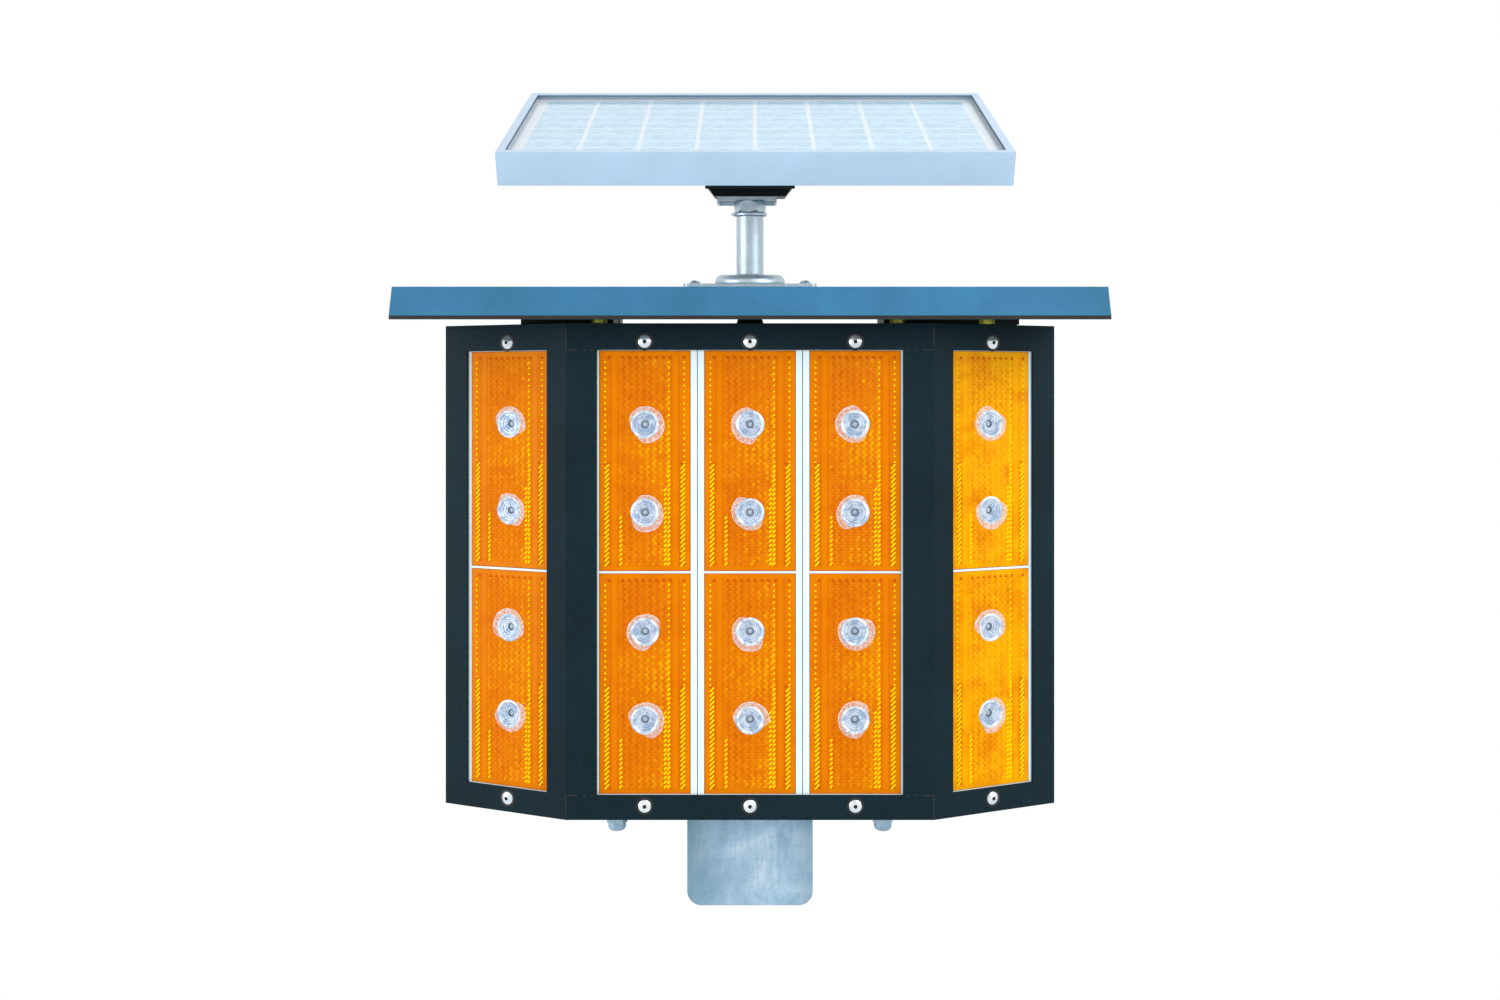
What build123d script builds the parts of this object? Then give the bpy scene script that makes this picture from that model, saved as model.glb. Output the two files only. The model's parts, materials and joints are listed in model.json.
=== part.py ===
from build123d import *
from math import cos, radians, sin, tan
import os

# Solar LED barricade marker: a folded sheet housing with five lit reflector strips stands on a
# post socket, under a pitched roof cap that carries a short mast with a tilting solar panel.
# Millimetres. +Z is up, the lit face looks along -Y, and the origin is the centre of the post
# socket's lower rim.

# ---- Post socket and base plate ----
SOCKET_DIAMETER = 88.9
SOCKET_BORE = 80.9
SOCKET_HEIGHT = 85.5
SOCKET_EDGE = 1.0
APRON_WIDTH = 96.5
APRON_THICKNESS = 5.0
APRON_CORNER = 11.0
BASE_PLATE_WIDTH = 230.0
BASE_PLATE_FRONT = -112.0
BASE_PLATE_REAR = 84.0
BASE_PLATE_THICKNESS = 4.5
BASE_BOLT_X = 97.5
BASE_BOLT_FRONT = -98.0
BASE_BOLT_REAR = 70.0
BASE_BOLT_DIAMETER = 8.0
CAP_NUT_CROWN = 12.9
CAP_NUT_HEIGHT = 12.2
SET_BOLT_LEVELS = (24.0, 60.0)
SET_BOLT_AZIMUTHS = (60.0, 120.0)

# ---- Housing ----
SHEET = 2.0
FRONT_Y = -130.0
FRONT_HALF = 131.0
WING_WIDTH = 103.6
WING_ANGLE = 24.0
REAR_Y = 110.0
REAR_HALF = 165.0
REAR_FLANGE = 18.0
HOUSING_HEIGHT = 351.5
WINDOW_HALF = 109.0
WINDOW_BOTTOM_RAIL = 17.5
WINDOW_TOP_RAIL = 17.0
WING_WINDOW_NEAR = 16.0
WING_WINDOW_FAR = 84.5
RAIL_FLANGE = 15.0
SEAM = 0.1

# ---- Reflector strips ----
STRIP_PITCH = 75.0
WING_STRIP_CENTRE = 49.5
CARRIER_WIDTH = 74.5
CARRIER_DEPTH = 8.0
CARRIER_TAB = 12.0
REFLECTOR_WIDTH = 65.0
REFLECTOR_THICKNESS = 3.0
REFLECTOR_GAP = 2.0
REFLECTOR_SETBACK = 0.5
LENS_INNER_RISE = 42.5
LENS_OUTER_RISE = 105.5
LENS_FLANGE_DIAMETER = 27.0
LENS_FLANGE_THICKNESS = 1.2
LENS_DOME_DIAMETER = 18.0
LENS_DOME_HEIGHT = 5.5
LENS_BARREL_DIAMETER = 20.0
BOARD_WIDTH = 40.0
BOARD_THICKNESS = 1.6
RIVET_HEAD_DIAMETER = 9.5
RIVET_HEAD_HEIGHT = 1.7
RIVET_BODY_DIAMETER = 4.8
RIVET_BORE = 2.8

# ---- Rear door ----
DOOR_OPENING_HALF = 120.0
DOOR_OPENING_BORDER = 30.0
DOOR_OVERLAP = 8.0
DOOR_THICKNESS = 1.5
GASKET_THICKNESS = 4.0
GASKET_WIDTH = 5.0
HINGE_OFFSET = 14.0
KNUCKLE_DIAMETER = 6.0
HINGE_PIN_DIAMETER = 3.0
LOCK_INSET = 12.0
LOCK_CORE_DIAMETER = 12.0
LOCK_BARREL_DIAMETER = 17.0
CAM_REACH = 30.0

# ---- Battery and controller ----
BATTERY_LENGTH = 151.0
BATTERY_DEPTH = 65.0
BATTERY_HEIGHT = 94.0
BATTERY_Y = 30.0
CONTROLLER_LENGTH = 120.0
CONTROLLER_DEPTH = 80.0
CONTROLLER_HEIGHT = 32.0
CONTROLLER_Y = 62.0

# ---- Roof cap ----
ROOF_PITCH = 4.4
ROOF_RISE = 38.0
ROOF_FRONT = -155.5
ROOF_REAR = 140.0
ROOF_FRONT_HALF = 248.5
ROOF_REAR_HALF = 190.0
ROOF_SKIRT = 20.0
ROOF_FLARE = 5.0
ROOF_SHEET = 1.5
ROOF_LIP = 15.0
TRIM_DROP = 2.7
TRIM_WIDTH = 3.5
STANDOFF_FLATS = 10.0

# ---- Mast, along the roof's normal ----
MAST_DIAMETER = 21.7
MAST_BORE = 8.0
MAST_TOP = 56.0
MAST_PLATE_LENGTH = 104.0
MAST_PLATE_DEPTH = 70.0
MAST_PLATE_THICKNESS = 2.5
MAST_FLANGE_DIAMETER = 56.0
MAST_FLANGE_THICKNESS = 7.0
MAST_SCREW_X = 44.0
MAST_SCREW_Y = 26.0
SPIGOT_DIAMETER = 14.0
NUT_FLATS = 22.0
NUT_TURN = -8.4
LOCK_WASHER_DIAMETER = 27.0
LOCK_WASHER_THICKNESS = 3.2
LOCK_NUT_HEIGHT = 9.3

# ---- Swivel and tilt brackets ----
SWIVEL_LEFT = -26.0
SWIVEL_RIGHT = 21.0
SWIVEL_HALF_DEPTH = 17.0
SWIVEL_SHEET = 2.5
SWIVEL_FLANGE = 5.5
YOKE_BASE_HALF = 28.0
YOKE_HALF = 35.0
YOKE_HALF_DEPTH = 17.0
YOKE_SHEET = 3.0
YOKE_FLARE_HEIGHT = 9.0
PIVOT_HEIGHT = 90.8
PIVOT_DIAMETER = 8.0
EAR_RADIUS = 11.0
LUG_RADIUS = 10.0
SIDE_PLAY = 0.4
RUNNING_CLEARANCE = 0.05

# ---- Solar panel ----
PANEL_TILT = 25.0
PANEL_WIDTH = 378.0
PANEL_LENGTH = 189.0
PANEL_THICKNESS = 25.0
PANEL_STANDOFF = 17.4
PANEL_PLATE = 3.0
PANEL_PLATE_WIDTH = 66.0
PANEL_OFFSET = 4.0
FRAME_WALL = 2.0
FRAME_LIP = 6.0
FRAME_LIP_THICKNESS = 1.2
FRAME_FOOT = 18.0
GLASS_THICKNESS = 3.2
CELL_SHEET_THICKNESS = 0.8

# ---- Levels and places worked out from the sizes above ----
HOUSING_BOTTOM = SOCKET_HEIGHT + BASE_PLATE_THICKNESS
HOUSING_TOP = HOUSING_BOTTOM + HOUSING_HEIGHT
ROOF_SURFACE = HOUSING_TOP + ROOF_RISE
FLOOR_TOP = HOUSING_BOTTOM + SHEET
LID_TOP = HOUSING_TOP + SHEET
WINDOW_BOTTOM = HOUSING_BOTTOM + WINDOW_BOTTOM_RAIL
WINDOW_TOP = HOUSING_TOP - WINDOW_TOP_RAIL
WINDOW_HEIGHT = WINDOW_TOP - WINDOW_BOTTOM
WINDOW_MIDDLE = (WINDOW_TOP + WINDOW_BOTTOM) / 2
REFLECTOR_HEIGHT = WINDOW_HEIGHT / 2 - REFLECTOR_GAP / 2 - 0.5
REFLECTOR_RISE = (REFLECTOR_HEIGHT + REFLECTOR_GAP) / 2
REFLECTOR_FACE = SHEET + REFLECTOR_SETBACK
CARRIER_BACK = SHEET + CARRIER_DEPTH
RIVET_LEVELS = (HOUSING_BOTTOM + WINDOW_BOTTOM_RAIL * 0.56, HOUSING_TOP - WINDOW_TOP_RAIL * 0.65)
WING_X = WING_WIDTH * cos(radians(WING_ANGLE))
WING_Y = WING_WIDTH * sin(radians(WING_ANGLE))
REAR_WALL_FACE = REAR_Y - SHEET
DOOR_FACE = REAR_WALL_FACE + GASKET_THICKNESS + 0.3
DOOR_BOTTOM = HOUSING_BOTTOM + DOOR_OPENING_BORDER
DOOR_TOP = HOUSING_TOP - DOOR_OPENING_BORDER
HINGE_X = -DOOR_OPENING_HALF - HINGE_OFFSET
HINGE_Y = DOOR_FACE + DOOR_THICKNESS / 2
LOCK_X = DOOR_OPENING_HALF - LOCK_INSET
LOCK_Z = (DOOR_BOTTOM + DOOR_TOP) / 2
ROOF_FLARE_REACH = ROOF_SKIRT * tan(radians(ROOF_FLARE))
FLANGE_TOP = MAST_PLATE_THICKNESS + MAST_FLANGE_THICKNESS
NUT_BOTTOM = MAST_TOP + LOCK_WASHER_THICKNESS
NUT_TOP = NUT_BOTTOM + LOCK_NUT_HEIGHT
SWIVEL_TOP = NUT_TOP + SWIVEL_SHEET
YOKE_FLOOR = SWIVEL_TOP + YOKE_SHEET
SWIVEL_NUT_HEIGHT = 7.0
PANEL_TOP = PANEL_STANDOFF + PANEL_THICKNESS

# ---- Frames of the sloping assemblies ----
ROOF = Pos(0, 0, ROOF_SURFACE) * Rot(ROOF_PITCH, 0, 0)
PIVOT = ROOF * Pos(0, 0, PIVOT_HEIGHT)
PANEL = PIVOT * Rot(PANEL_TILT - ROOF_PITCH, 0, 0)
LAMINATE = PANEL * Pos(PANEL_OFFSET, 0, 0)
STRIPS = {
    "left_wing": Pos(-FRONT_HALF, FRONT_Y, 0) * Rot(0, 0, -WING_ANGLE) * Pos(-WING_STRIP_CENTRE, 0, 0),
    "left": Pos(-STRIP_PITCH, FRONT_Y, 0),
    "middle": Pos(0, FRONT_Y, 0),
    "right": Pos(STRIP_PITCH, FRONT_Y, 0),
    "right_wing": Pos(FRONT_HALF, FRONT_Y, 0) * Rot(0, 0, WING_ANGLE) * Pos(WING_STRIP_CENTRE, 0, 0),
}


# ---- Basic shapes ----
def block(x0, x1, y0, y1, z0, z1):
    """Box between two opposite corners."""
    return Pos((x0 + x1) / 2, (y0 + y1) / 2, (z0 + z1) / 2) * Box(x1 - x0, y1 - y0, z1 - z0)


def rod(diameter, z0, z1, x=0.0, y=0.0):
    """Upright cylinder between two levels."""
    return Pos(x, y, (z0 + z1) / 2) * Cylinder(diameter / 2, z1 - z0)


def rod_x(diameter, x0, x1):
    """Cylinder along X through the local origin."""
    return Pos((x0 + x1) / 2, 0, 0) * Rot(0, 90, 0) * Cylinder(diameter / 2, x1 - x0)


def rod_y(diameter, y0, y1, x=0.0, z=0.0):
    """Cylinder along Y between two depths."""
    return Pos(x, (y0 + y1) / 2, z) * Rot(90, 0, 0) * Cylinder(diameter / 2, y1 - y0)


def hex_prism(flats, z0, z1, turn=0.0):
    """Upright hexagonal prism, a flat facing -Y when turn is zero."""
    outline = RegularPolygon(flats / 2, 6, major_radius=False, rotation=turn)
    return Pos(0, 0, z0) * extrude(outline, z1 - z0)


def hex_nut(flats, z0, z1, bore, turn=0.0):
    """Hexagonal nut with both rims chamfered and a plain bore."""
    crown = flats * 0.58
    cone = Pos(0, 0, (z0 + z1) / 2) * Cylinder(crown, z1 - z0)
    cone = chamfer(cone.edges().filter_by(GeomType.CIRCLE), flats * 0.08)
    return (hex_prism(flats, z0, z1, turn) & cone) - rod(bore, z0 - 1, z1 + 1)


def dome_head(diameter, height):
    """Round screw head on the local XY plane."""
    ball = (diameter ** 2 / 4 + height ** 2) / (2 * height)
    return Pos(0, 0, height - ball) * Sphere(ball) & rod(diameter, 0, height + 1)


def bent_sheet(points, thickness, length):
    """Sheet of one thickness folded along points, to their left, and length wide."""
    centre_line = Polyline(*points)
    outline = offset(centre_line, amount=thickness, side=Side.LEFT, kind=Kind.INTERSECTION)
    return extrude(make_face(outline), length)


def housing_outline(inset):
    """Six-sided plan of the housing, moved inwards by inset."""
    right = [
        (FRONT_HALF, FRONT_Y),
        (FRONT_HALF + WING_X, FRONT_Y + WING_Y),
        (REAR_HALF, REAR_Y),
    ]
    left = [(-x, y) for x, y in reversed(right)]
    plan = make_face(Polyline(*right, *left, close=True))
    return offset(plan, -inset, kind=Kind.INTERSECTION) if inset else plan


def roof_outline(grow):
    """Four-sided plan of the roof cap, moved outwards by grow."""
    corners = [
        (-ROOF_FRONT_HALF, ROOF_FRONT),
        (ROOF_FRONT_HALF, ROOF_FRONT),
        (ROOF_REAR_HALF, ROOF_REAR),
        (-ROOF_REAR_HALF, ROOF_REAR),
    ]
    plan = make_face(Polyline(*corners, close=True))
    return offset(plan, grow, kind=Kind.INTERSECTION) if grow else plan


# ---- Post socket and base ----
def post_socket():
    """Tube that slips over a post, with threaded bosses for the set bolts."""
    tube = rod(SOCKET_DIAMETER, 0, SOCKET_HEIGHT)
    tube = chamfer(tube.edges().group_by(Axis.Z)[0], SOCKET_EDGE)
    for frame in set_bolt_frames():
        tube += frame * hex_prism(17.0, SOCKET_DIAMETER / 2 - 2, SOCKET_DIAMETER / 2 + 8)
        tube -= frame * rod(10.0 + 2 * RUNNING_CLEARANCE, SOCKET_BORE / 2 - 2, SOCKET_DIAMETER / 2 + 9)
    return tube - rod(SOCKET_BORE, -1, SOCKET_HEIGHT + 1)


def set_bolt_frames():
    """Frames whose +Z points outwards from the socket's axis at each set bolt."""
    return [
        Pos(0, 0, level) * Rot(0, 0, azimuth) * Rot(0, 90, 0)
        for level in SET_BOLT_LEVELS
        for azimuth in SET_BOLT_AZIMUTHS
    ]


def set_bolts():
    """Hexagon-head bolts whose tips stop just short of the bore."""
    bolts = []
    for frame in set_bolt_frames():
        shank = rod(10.0, SOCKET_BORE / 2 + 0.8, SOCKET_DIAMETER / 2 + 14)
        head = hex_nut(17.0, SOCKET_DIAMETER / 2 + 13, SOCKET_DIAMETER / 2 + 19.5, 1.0)
        bolts.append(frame * (shank + head + rod(2, SOCKET_DIAMETER / 2 + 12, SOCKET_DIAMETER / 2 + 19)))
    return Compound(children=bolts)


def apron_plate():
    """Flat plate welded across the front of the socket, round at its lower corners."""
    front = -SOCKET_DIAMETER / 2 - APRON_THICKNESS
    plate = block(-APRON_WIDTH / 2, APRON_WIDTH / 2, front, -SOCKET_DIAMETER / 2, 0, SOCKET_HEIGHT)
    corners = plate.edges().filter_by(Axis.Y).group_by(Axis.Z)[0]
    return fillet(corners, APRON_CORNER)


def base_bolt_places():
    """Centres of the four bolts that hold the housing on the base plate."""
    return [(x, y) for x in (-BASE_BOLT_X, BASE_BOLT_X) for y in (BASE_BOLT_FRONT, BASE_BOLT_REAR)]


def base_plate():
    """Plate on top of the socket."""
    half = BASE_PLATE_WIDTH / 2
    plate = block(-half, half, BASE_PLATE_FRONT, BASE_PLATE_REAR, SOCKET_HEIGHT, HOUSING_BOTTOM)
    plate = fillet(plate.edges().filter_by(Axis.Z), 8)
    for x, y in base_bolt_places():
        plate -= rod(8.6, SOCKET_HEIGHT - 1, HOUSING_BOTTOM + 1, x, y)
    return plate


def base_bolts():
    """Hexagon bolts with their heads inside the housing."""
    bolts = []
    for x, y in base_bolt_places():
        head = hex_nut(13.0, FLOOR_TOP, FLOOR_TOP + 5.3, 1.0) + rod(2, FLOOR_TOP - 1, FLOOR_TOP + 5)
        bolts.append(Pos(x, y, 0) * (head + rod(BASE_BOLT_DIAMETER, SOCKET_HEIGHT - 5, FLOOR_TOP + 1)))
    return Compound(children=bolts)


def base_cap_nuts():
    """Cap nuts with rounded blind ends, under the base plate."""
    nuts = []
    for x, y in base_bolt_places():
        hexagon = hex_prism(13.0, SOCKET_HEIGHT - 6.5, SOCKET_HEIGHT, 8)
        crown = rod(CAP_NUT_CROWN, SOCKET_HEIGHT - CAP_NUT_HEIGHT, SOCKET_HEIGHT - 6)
        crown = fillet(crown.edges().group_by(Axis.Z)[0], CAP_NUT_CROWN / 4)
        bore = BASE_BOLT_DIAMETER + 2 * RUNNING_CLEARANCE
        socket = rod(bore, SOCKET_HEIGHT - 5.5, SOCKET_HEIGHT + 1)
        nuts.append(Pos(x, y, 0) * (hexagon + crown - socket))
    return Compound(children=nuts)


# ---- Housing sheets ----
def wing_frame():
    """Frame of the right wing: X runs outwards from the fold, -Y faces out."""
    return Pos(FRONT_HALF, FRONT_Y, 0) * Rot(0, 0, WING_ANGLE)


def right_shell():
    """One folded sheet: mullion, wing with its window, side wall and rear flange."""
    path = [
        (WINDOW_HALF, FRONT_Y),
        (FRONT_HALF, FRONT_Y),
        (FRONT_HALF + WING_X, FRONT_Y + WING_Y),
        (REAR_HALF, REAR_Y),
        (REAR_HALF - REAR_FLANGE, REAR_Y),
    ]
    shell = Pos(0, 0, HOUSING_BOTTOM) * bent_sheet(path, SHEET, HOUSING_HEIGHT)
    rail_width = (WINDOW_HALF - 1, FRONT_HALF + SEAM, FRONT_Y - 1, FRONT_Y + SHEET + 1)
    shell -= block(*rail_width, HOUSING_BOTTOM - 1, WINDOW_BOTTOM + SEAM)
    shell -= block(*rail_width, WINDOW_TOP - SEAM, HOUSING_TOP + 1)
    shell -= wing_frame() * block(WING_WINDOW_NEAR, WING_WINDOW_FAR, -1, 4, WINDOW_BOTTOM, WINDOW_TOP)
    return shell - rivet_holes("right_wing")


def rivet_holes(strip):
    """Rivet shanks of one strip, slightly oversize, to be cut from a sheet."""
    place = STRIPS[strip]
    size = RIVET_BODY_DIAMETER + 2 * RUNNING_CLEARANCE
    return [place * rod_y(size, -3, CARRIER_BACK + 1, 0, level) for level in RIVET_LEVELS]


def rail(level_bottom, level_top, flange_bottom):
    """Front rail between the two wings with an inward flange."""
    half = FRONT_HALF - SEAM
    strip = block(-half, half, FRONT_Y, FRONT_Y + SHEET, level_bottom, level_top)
    flange_half = half - SHEET
    y0, y1 = FRONT_Y + SHEET, FRONT_Y + RAIL_FLANGE
    strip += block(-flange_half, flange_half, y0, y1, flange_bottom, flange_bottom + SHEET)
    for name in ("left", "middle", "right"):
        strip -= rivet_holes(name)
    return strip


def floor_plate():
    """Housing floor inside the walls, drilled for the base bolts."""
    plate = Pos(0, 0, HOUSING_BOTTOM) * extrude(housing_outline(SHEET + SEAM), SHEET)
    for x, y in base_bolt_places():
        plate -= rod(8.6, HOUSING_BOTTOM - 1, FLOOR_TOP + 1, x, y)
    return plate


def top_plate():
    """Lid of the housing, flush with its walls, with the cable gland's hole."""
    plate = Pos(0, 0, HOUSING_TOP) * extrude(housing_outline(0), SHEET)
    return plate - rod(20.2, HOUSING_TOP - 1, LID_TOP + 1)


def rear_frame():
    """Rear wall with the door opening and its half of the hinge knuckles."""
    half = REAR_HALF - SHEET - 1.6
    wall = block(-half, half, REAR_WALL_FACE - SHEET, REAR_WALL_FACE, FLOOR_TOP, HOUSING_TOP)
    wall -= block(
        -DOOR_OPENING_HALF, DOOR_OPENING_HALF, REAR_Y - 10, REAR_Y, DOOR_BOTTOM, DOOR_TOP
    )
    for bottom, top in hinge_spans():
        middle = (bottom + top) / 2
        for z0, z1 in ((bottom, middle - 6.2), (middle + 6.2, top)):
            wall += block(HINGE_X - 1.5, HINGE_X + 1.0, REAR_WALL_FACE - 1, HINGE_Y, z0, z1)
            wall += rod(KNUCKLE_DIAMETER, z0, z1, HINGE_X, HINGE_Y)
        wall -= rod(HINGE_PIN_DIAMETER + 2 * RUNNING_CLEARANCE, bottom - 1, top + 1, HINGE_X, HINGE_Y)
    return wall


# ---- Rear door ----
def hinge_spans():
    """Bottom and top level of each hinge."""
    rise = (DOOR_TOP - DOOR_BOTTOM) / 6
    return [(DOOR_BOTTOM + rise - 18, DOOR_BOTTOM + rise + 18), (DOOR_TOP - rise - 18, DOOR_TOP - rise + 18)]


def rear_door():
    """Flat door with a turned edge, its knuckles and the lock's hole."""
    half = DOOR_OPENING_HALF + DOOR_OVERLAP
    low, high = DOOR_BOTTOM - DOOR_OVERLAP, DOOR_TOP + DOOR_OVERLAP
    door = block(-half, half, DOOR_FACE, DOOR_FACE + DOOR_THICKNESS, low, high)
    door += block(half - 1.5, half, DOOR_FACE - 3, DOOR_FACE + 1, low, high)
    for bottom, top in hinge_spans():
        middle = (bottom + top) / 2
        door += block(HINGE_X, -half + 1, DOOR_FACE, DOOR_FACE + DOOR_THICKNESS, middle - 6, middle + 6)
        door += rod(KNUCKLE_DIAMETER, middle - 6, middle + 6, HINGE_X, HINGE_Y)
        door -= rod(HINGE_PIN_DIAMETER + 2 * RUNNING_CLEARANCE, bottom, top, HINGE_X, HINGE_Y)
    return door - rod_y(LOCK_BARREL_DIAMETER + 0.2, DOOR_FACE - 2, DOOR_FACE + 4, LOCK_X, LOCK_Z)


def hinge_pins():
    """Pins with a small head at each end."""
    pins = []
    for bottom, top in hinge_spans():
        pin = rod(HINGE_PIN_DIAMETER, bottom - 1.2, top + 1.2)
        pin += rod(HINGE_PIN_DIAMETER + 1.8, bottom - 1.2, bottom - 0.1)
        pin += rod(HINGE_PIN_DIAMETER + 1.8, top + 0.1, top + 1.2)
        pins.append(Pos(HINGE_X, HINGE_Y, 0) * pin)
    return Compound(children=pins)


def door_gasket():
    """Foam ring round the door opening."""
    outer = DOOR_OPENING_HALF + 1 + GASKET_WIDTH
    inner = DOOR_OPENING_HALF + 1
    y0, y1 = REAR_WALL_FACE, REAR_WALL_FACE + GASKET_THICKNESS
    ring = block(-outer, outer, y0, y1, DOOR_BOTTOM - 1 - GASKET_WIDTH, DOOR_TOP + 1 + GASKET_WIDTH)
    return ring - block(-inner, inner, y0 - 1, y1 + 1, DOOR_BOTTOM - 1, DOOR_TOP + 1)


def cam_lock_body():
    """Lock barrel with its outer collar and inner nut."""
    outside = DOOR_FACE + DOOR_THICKNESS
    inner_end = REAR_WALL_FACE - SHEET
    barrel = rod_y(LOCK_BARREL_DIAMETER, inner_end, outside + 2)
    barrel += rod_y(LOCK_BARREL_DIAMETER + 5, outside, outside + 2.5)
    barrel -= rod_y(LOCK_CORE_DIAMETER + 2 * RUNNING_CLEARANCE, inner_end - 1, outside + 4)
    return Pos(LOCK_X, 0, LOCK_Z) * barrel


def lock_cam():
    """Turning core with a key slot, and the cam that grips behind the rear wall."""
    outside = DOOR_FACE + DOOR_THICKNESS
    inner_end = REAR_WALL_FACE - SHEET
    core = rod_y(LOCK_CORE_DIAMETER, inner_end - 2.6, outside + 3)
    core -= block(-0.7, 0.7, outside + 1, outside + 4, -3.5, 3.5)
    cam = block(-6, 6, inner_end - 2.6, inner_end - 0.6, 0, CAM_REACH)
    return Pos(LOCK_X, 0, LOCK_Z) * (core + cam)


# ---- Reflector strips ----
def lens_levels():
    """Heights of the four lenses of a strip."""
    rises = (-LENS_OUTER_RISE, -LENS_INNER_RISE, LENS_INNER_RISE, LENS_OUTER_RISE)
    return [WINDOW_MIDDLE + rise for rise in rises]


def reflector_levels():
    """Mid-heights of the lower and the upper reflector."""
    return [WINDOW_MIDDLE - REFLECTOR_RISE, WINDOW_MIDDLE + REFLECTOR_RISE]


def strip_carrier(place, name):
    """White moulding that holds two reflectors and is riveted behind the rails."""
    half = CARRIER_WIDTH / 2
    tray = block(-half, half, SHEET, CARRIER_BACK, WINDOW_BOTTOM - CARRIER_TAB, WINDOW_TOP + CARRIER_TAB)
    pocket = REFLECTOR_WIDTH / 2 + 0.2
    reach = REFLECTOR_HEIGHT / 2 + 0.2
    for middle in reflector_levels():
        depth = REFLECTOR_FACE + REFLECTOR_THICKNESS
        tray -= block(-pocket, pocket, SHEET - 1, depth, middle - reach, middle + reach)
    for level in lens_levels():
        tray -= rod_y(LENS_BARREL_DIAMETER + 0.5, 0, CARRIER_BACK + 1, 0, level)
    return place * tray - rivet_holes(name)


def reflector(place, middle):
    """Moulded amber reflector with two lens holes."""
    half = REFLECTOR_WIDTH / 2
    rise = REFLECTOR_HEIGHT / 2
    back = REFLECTOR_FACE + REFLECTOR_THICKNESS
    body = block(-half, half, REFLECTOR_FACE, back, middle - rise, middle + rise)
    body = chamfer(body.faces().sort_by(Axis.Y)[0].edges(), 0.4)
    for level in lens_levels():
        body -= rod_y(LENS_BARREL_DIAMETER + 0.5, REFLECTOR_FACE - 1, back + 1, 0, level)
    return place * body


def lens():
    """Clear lens on the local axis: flange, dome and barrel with the emitter's pocket."""
    face = REFLECTOR_FACE - LENS_FLANGE_THICKNESS
    body = rod_y(LENS_FLANGE_DIAMETER, face, REFLECTOR_FACE)
    body = chamfer(body.edges().group_by(Axis.Y)[0], 0.5)
    body += rod_y(LENS_BARREL_DIAMETER, REFLECTOR_FACE, CARRIER_BACK - 1)
    body += Pos(0, face, 0) * Rot(90, 0, 0) * dome_head(LENS_DOME_DIAMETER, LENS_DOME_HEIGHT)
    return body - rod_y(6.6, CARRIER_BACK - 5.2, CARRIER_BACK)


def emitter():
    """LED on the local axis, standing on its board."""
    body = rod_y(6.0, CARRIER_BACK - 0.8, CARRIER_BACK) + rod_y(5.0, CARRIER_BACK - 2.0, CARRIER_BACK)
    dome = Pos(0, CARRIER_BACK - 2.0, 0) * Sphere(2.5)
    return body + (dome - rod_y(8.0, CARRIER_BACK - 1.0, CARRIER_BACK + 2))


def at_each_lens(shape):
    """Copies of a lens-axis shape at all the lenses of all the strips."""
    places = [place * Pos(0, 0, level) for place in STRIPS.values() for level in lens_levels()]
    return Compound(children=[spot * shape for spot in places])


def led_boards():
    """One circuit board behind each carrier."""
    half = BOARD_WIDTH / 2
    y0, y1 = CARRIER_BACK, CARRIER_BACK + BOARD_THICKNESS
    board = block(-half, half, y0, y1, WINDOW_BOTTOM + 12, WINDOW_TOP - 12)
    return Compound(children=[place * board for place in STRIPS.values()])


def bezel_rivets():
    """Hollow blind rivets at the top and bottom of each strip."""
    shank = rod_y(RIVET_BODY_DIAMETER, 0, CARRIER_BACK + 0.5)
    bulb = rod_y(RIVET_BODY_DIAMETER + 2.6, CARRIER_BACK, CARRIER_BACK + 3)
    head = Rot(90, 0, 0) * dome_head(RIVET_HEAD_DIAMETER, RIVET_HEAD_HEIGHT)
    rivet = head + shank + bulb - rod_y(RIVET_BORE, -3, CARRIER_BACK - 2)
    places = [place * Pos(0, 0, level) for place in STRIPS.values() for level in RIVET_LEVELS]
    return Compound(children=[spot * rivet for spot in places])


# ---- Battery and controller ----
def battery():
    """Sealed battery with two tab terminals, on the floor."""
    half = BATTERY_LENGTH / 2
    y0, y1 = BATTERY_Y - BATTERY_DEPTH / 2, BATTERY_Y + BATTERY_DEPTH / 2
    case = block(-half, half, y0, y1, FLOOR_TOP, FLOOR_TOP + BATTERY_HEIGHT)
    case = fillet(case.edges().filter_by(Axis.Z), 3)
    case_top = FLOOR_TOP + BATTERY_HEIGHT
    for x in (-half + 12, half - 12):
        case += block(x - 3, x + 3, y0 + 10, y0 + 11, case_top - 1, case_top + 6)
    return case


def controller():
    """Charge controller hung under the lid."""
    half = CONTROLLER_LENGTH / 2
    y0, y1 = CONTROLLER_Y - CONTROLLER_DEPTH / 2, CONTROLLER_Y + CONTROLLER_DEPTH / 2
    case = block(-half, half, y0, y1, HOUSING_TOP - CONTROLLER_HEIGHT, HOUSING_TOP)
    return fillet(case.edges().filter_by(Axis.Z), 4)


def cable_gland():
    """Gland through the lid, on the mast's axis."""
    gland = hex_nut(24.0, LID_TOP, LID_TOP + 6, 9) + hex_nut(24.0, HOUSING_TOP - 6, HOUSING_TOP, 9)
    gland += rod(20.0, HOUSING_TOP - 10, LID_TOP + 1)
    gland += Pos(0, 0, LID_TOP + 11) * Cone(11, 8, 10)
    return gland - rod(9, HOUSING_TOP - 12, LID_TOP + 20)


# ---- Roof cap ----
def frustum(grow, z_top, z_bottom):
    """Solid between the roof plans at two levels, widening at the skirt's flare."""
    slope = tan(radians(ROOF_FLARE))
    top = Pos(0, 0, z_top) * roof_outline(grow - slope * z_top)
    bottom = Pos(0, 0, z_bottom) * roof_outline(grow - slope * z_bottom)
    return loft([top, bottom])


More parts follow.
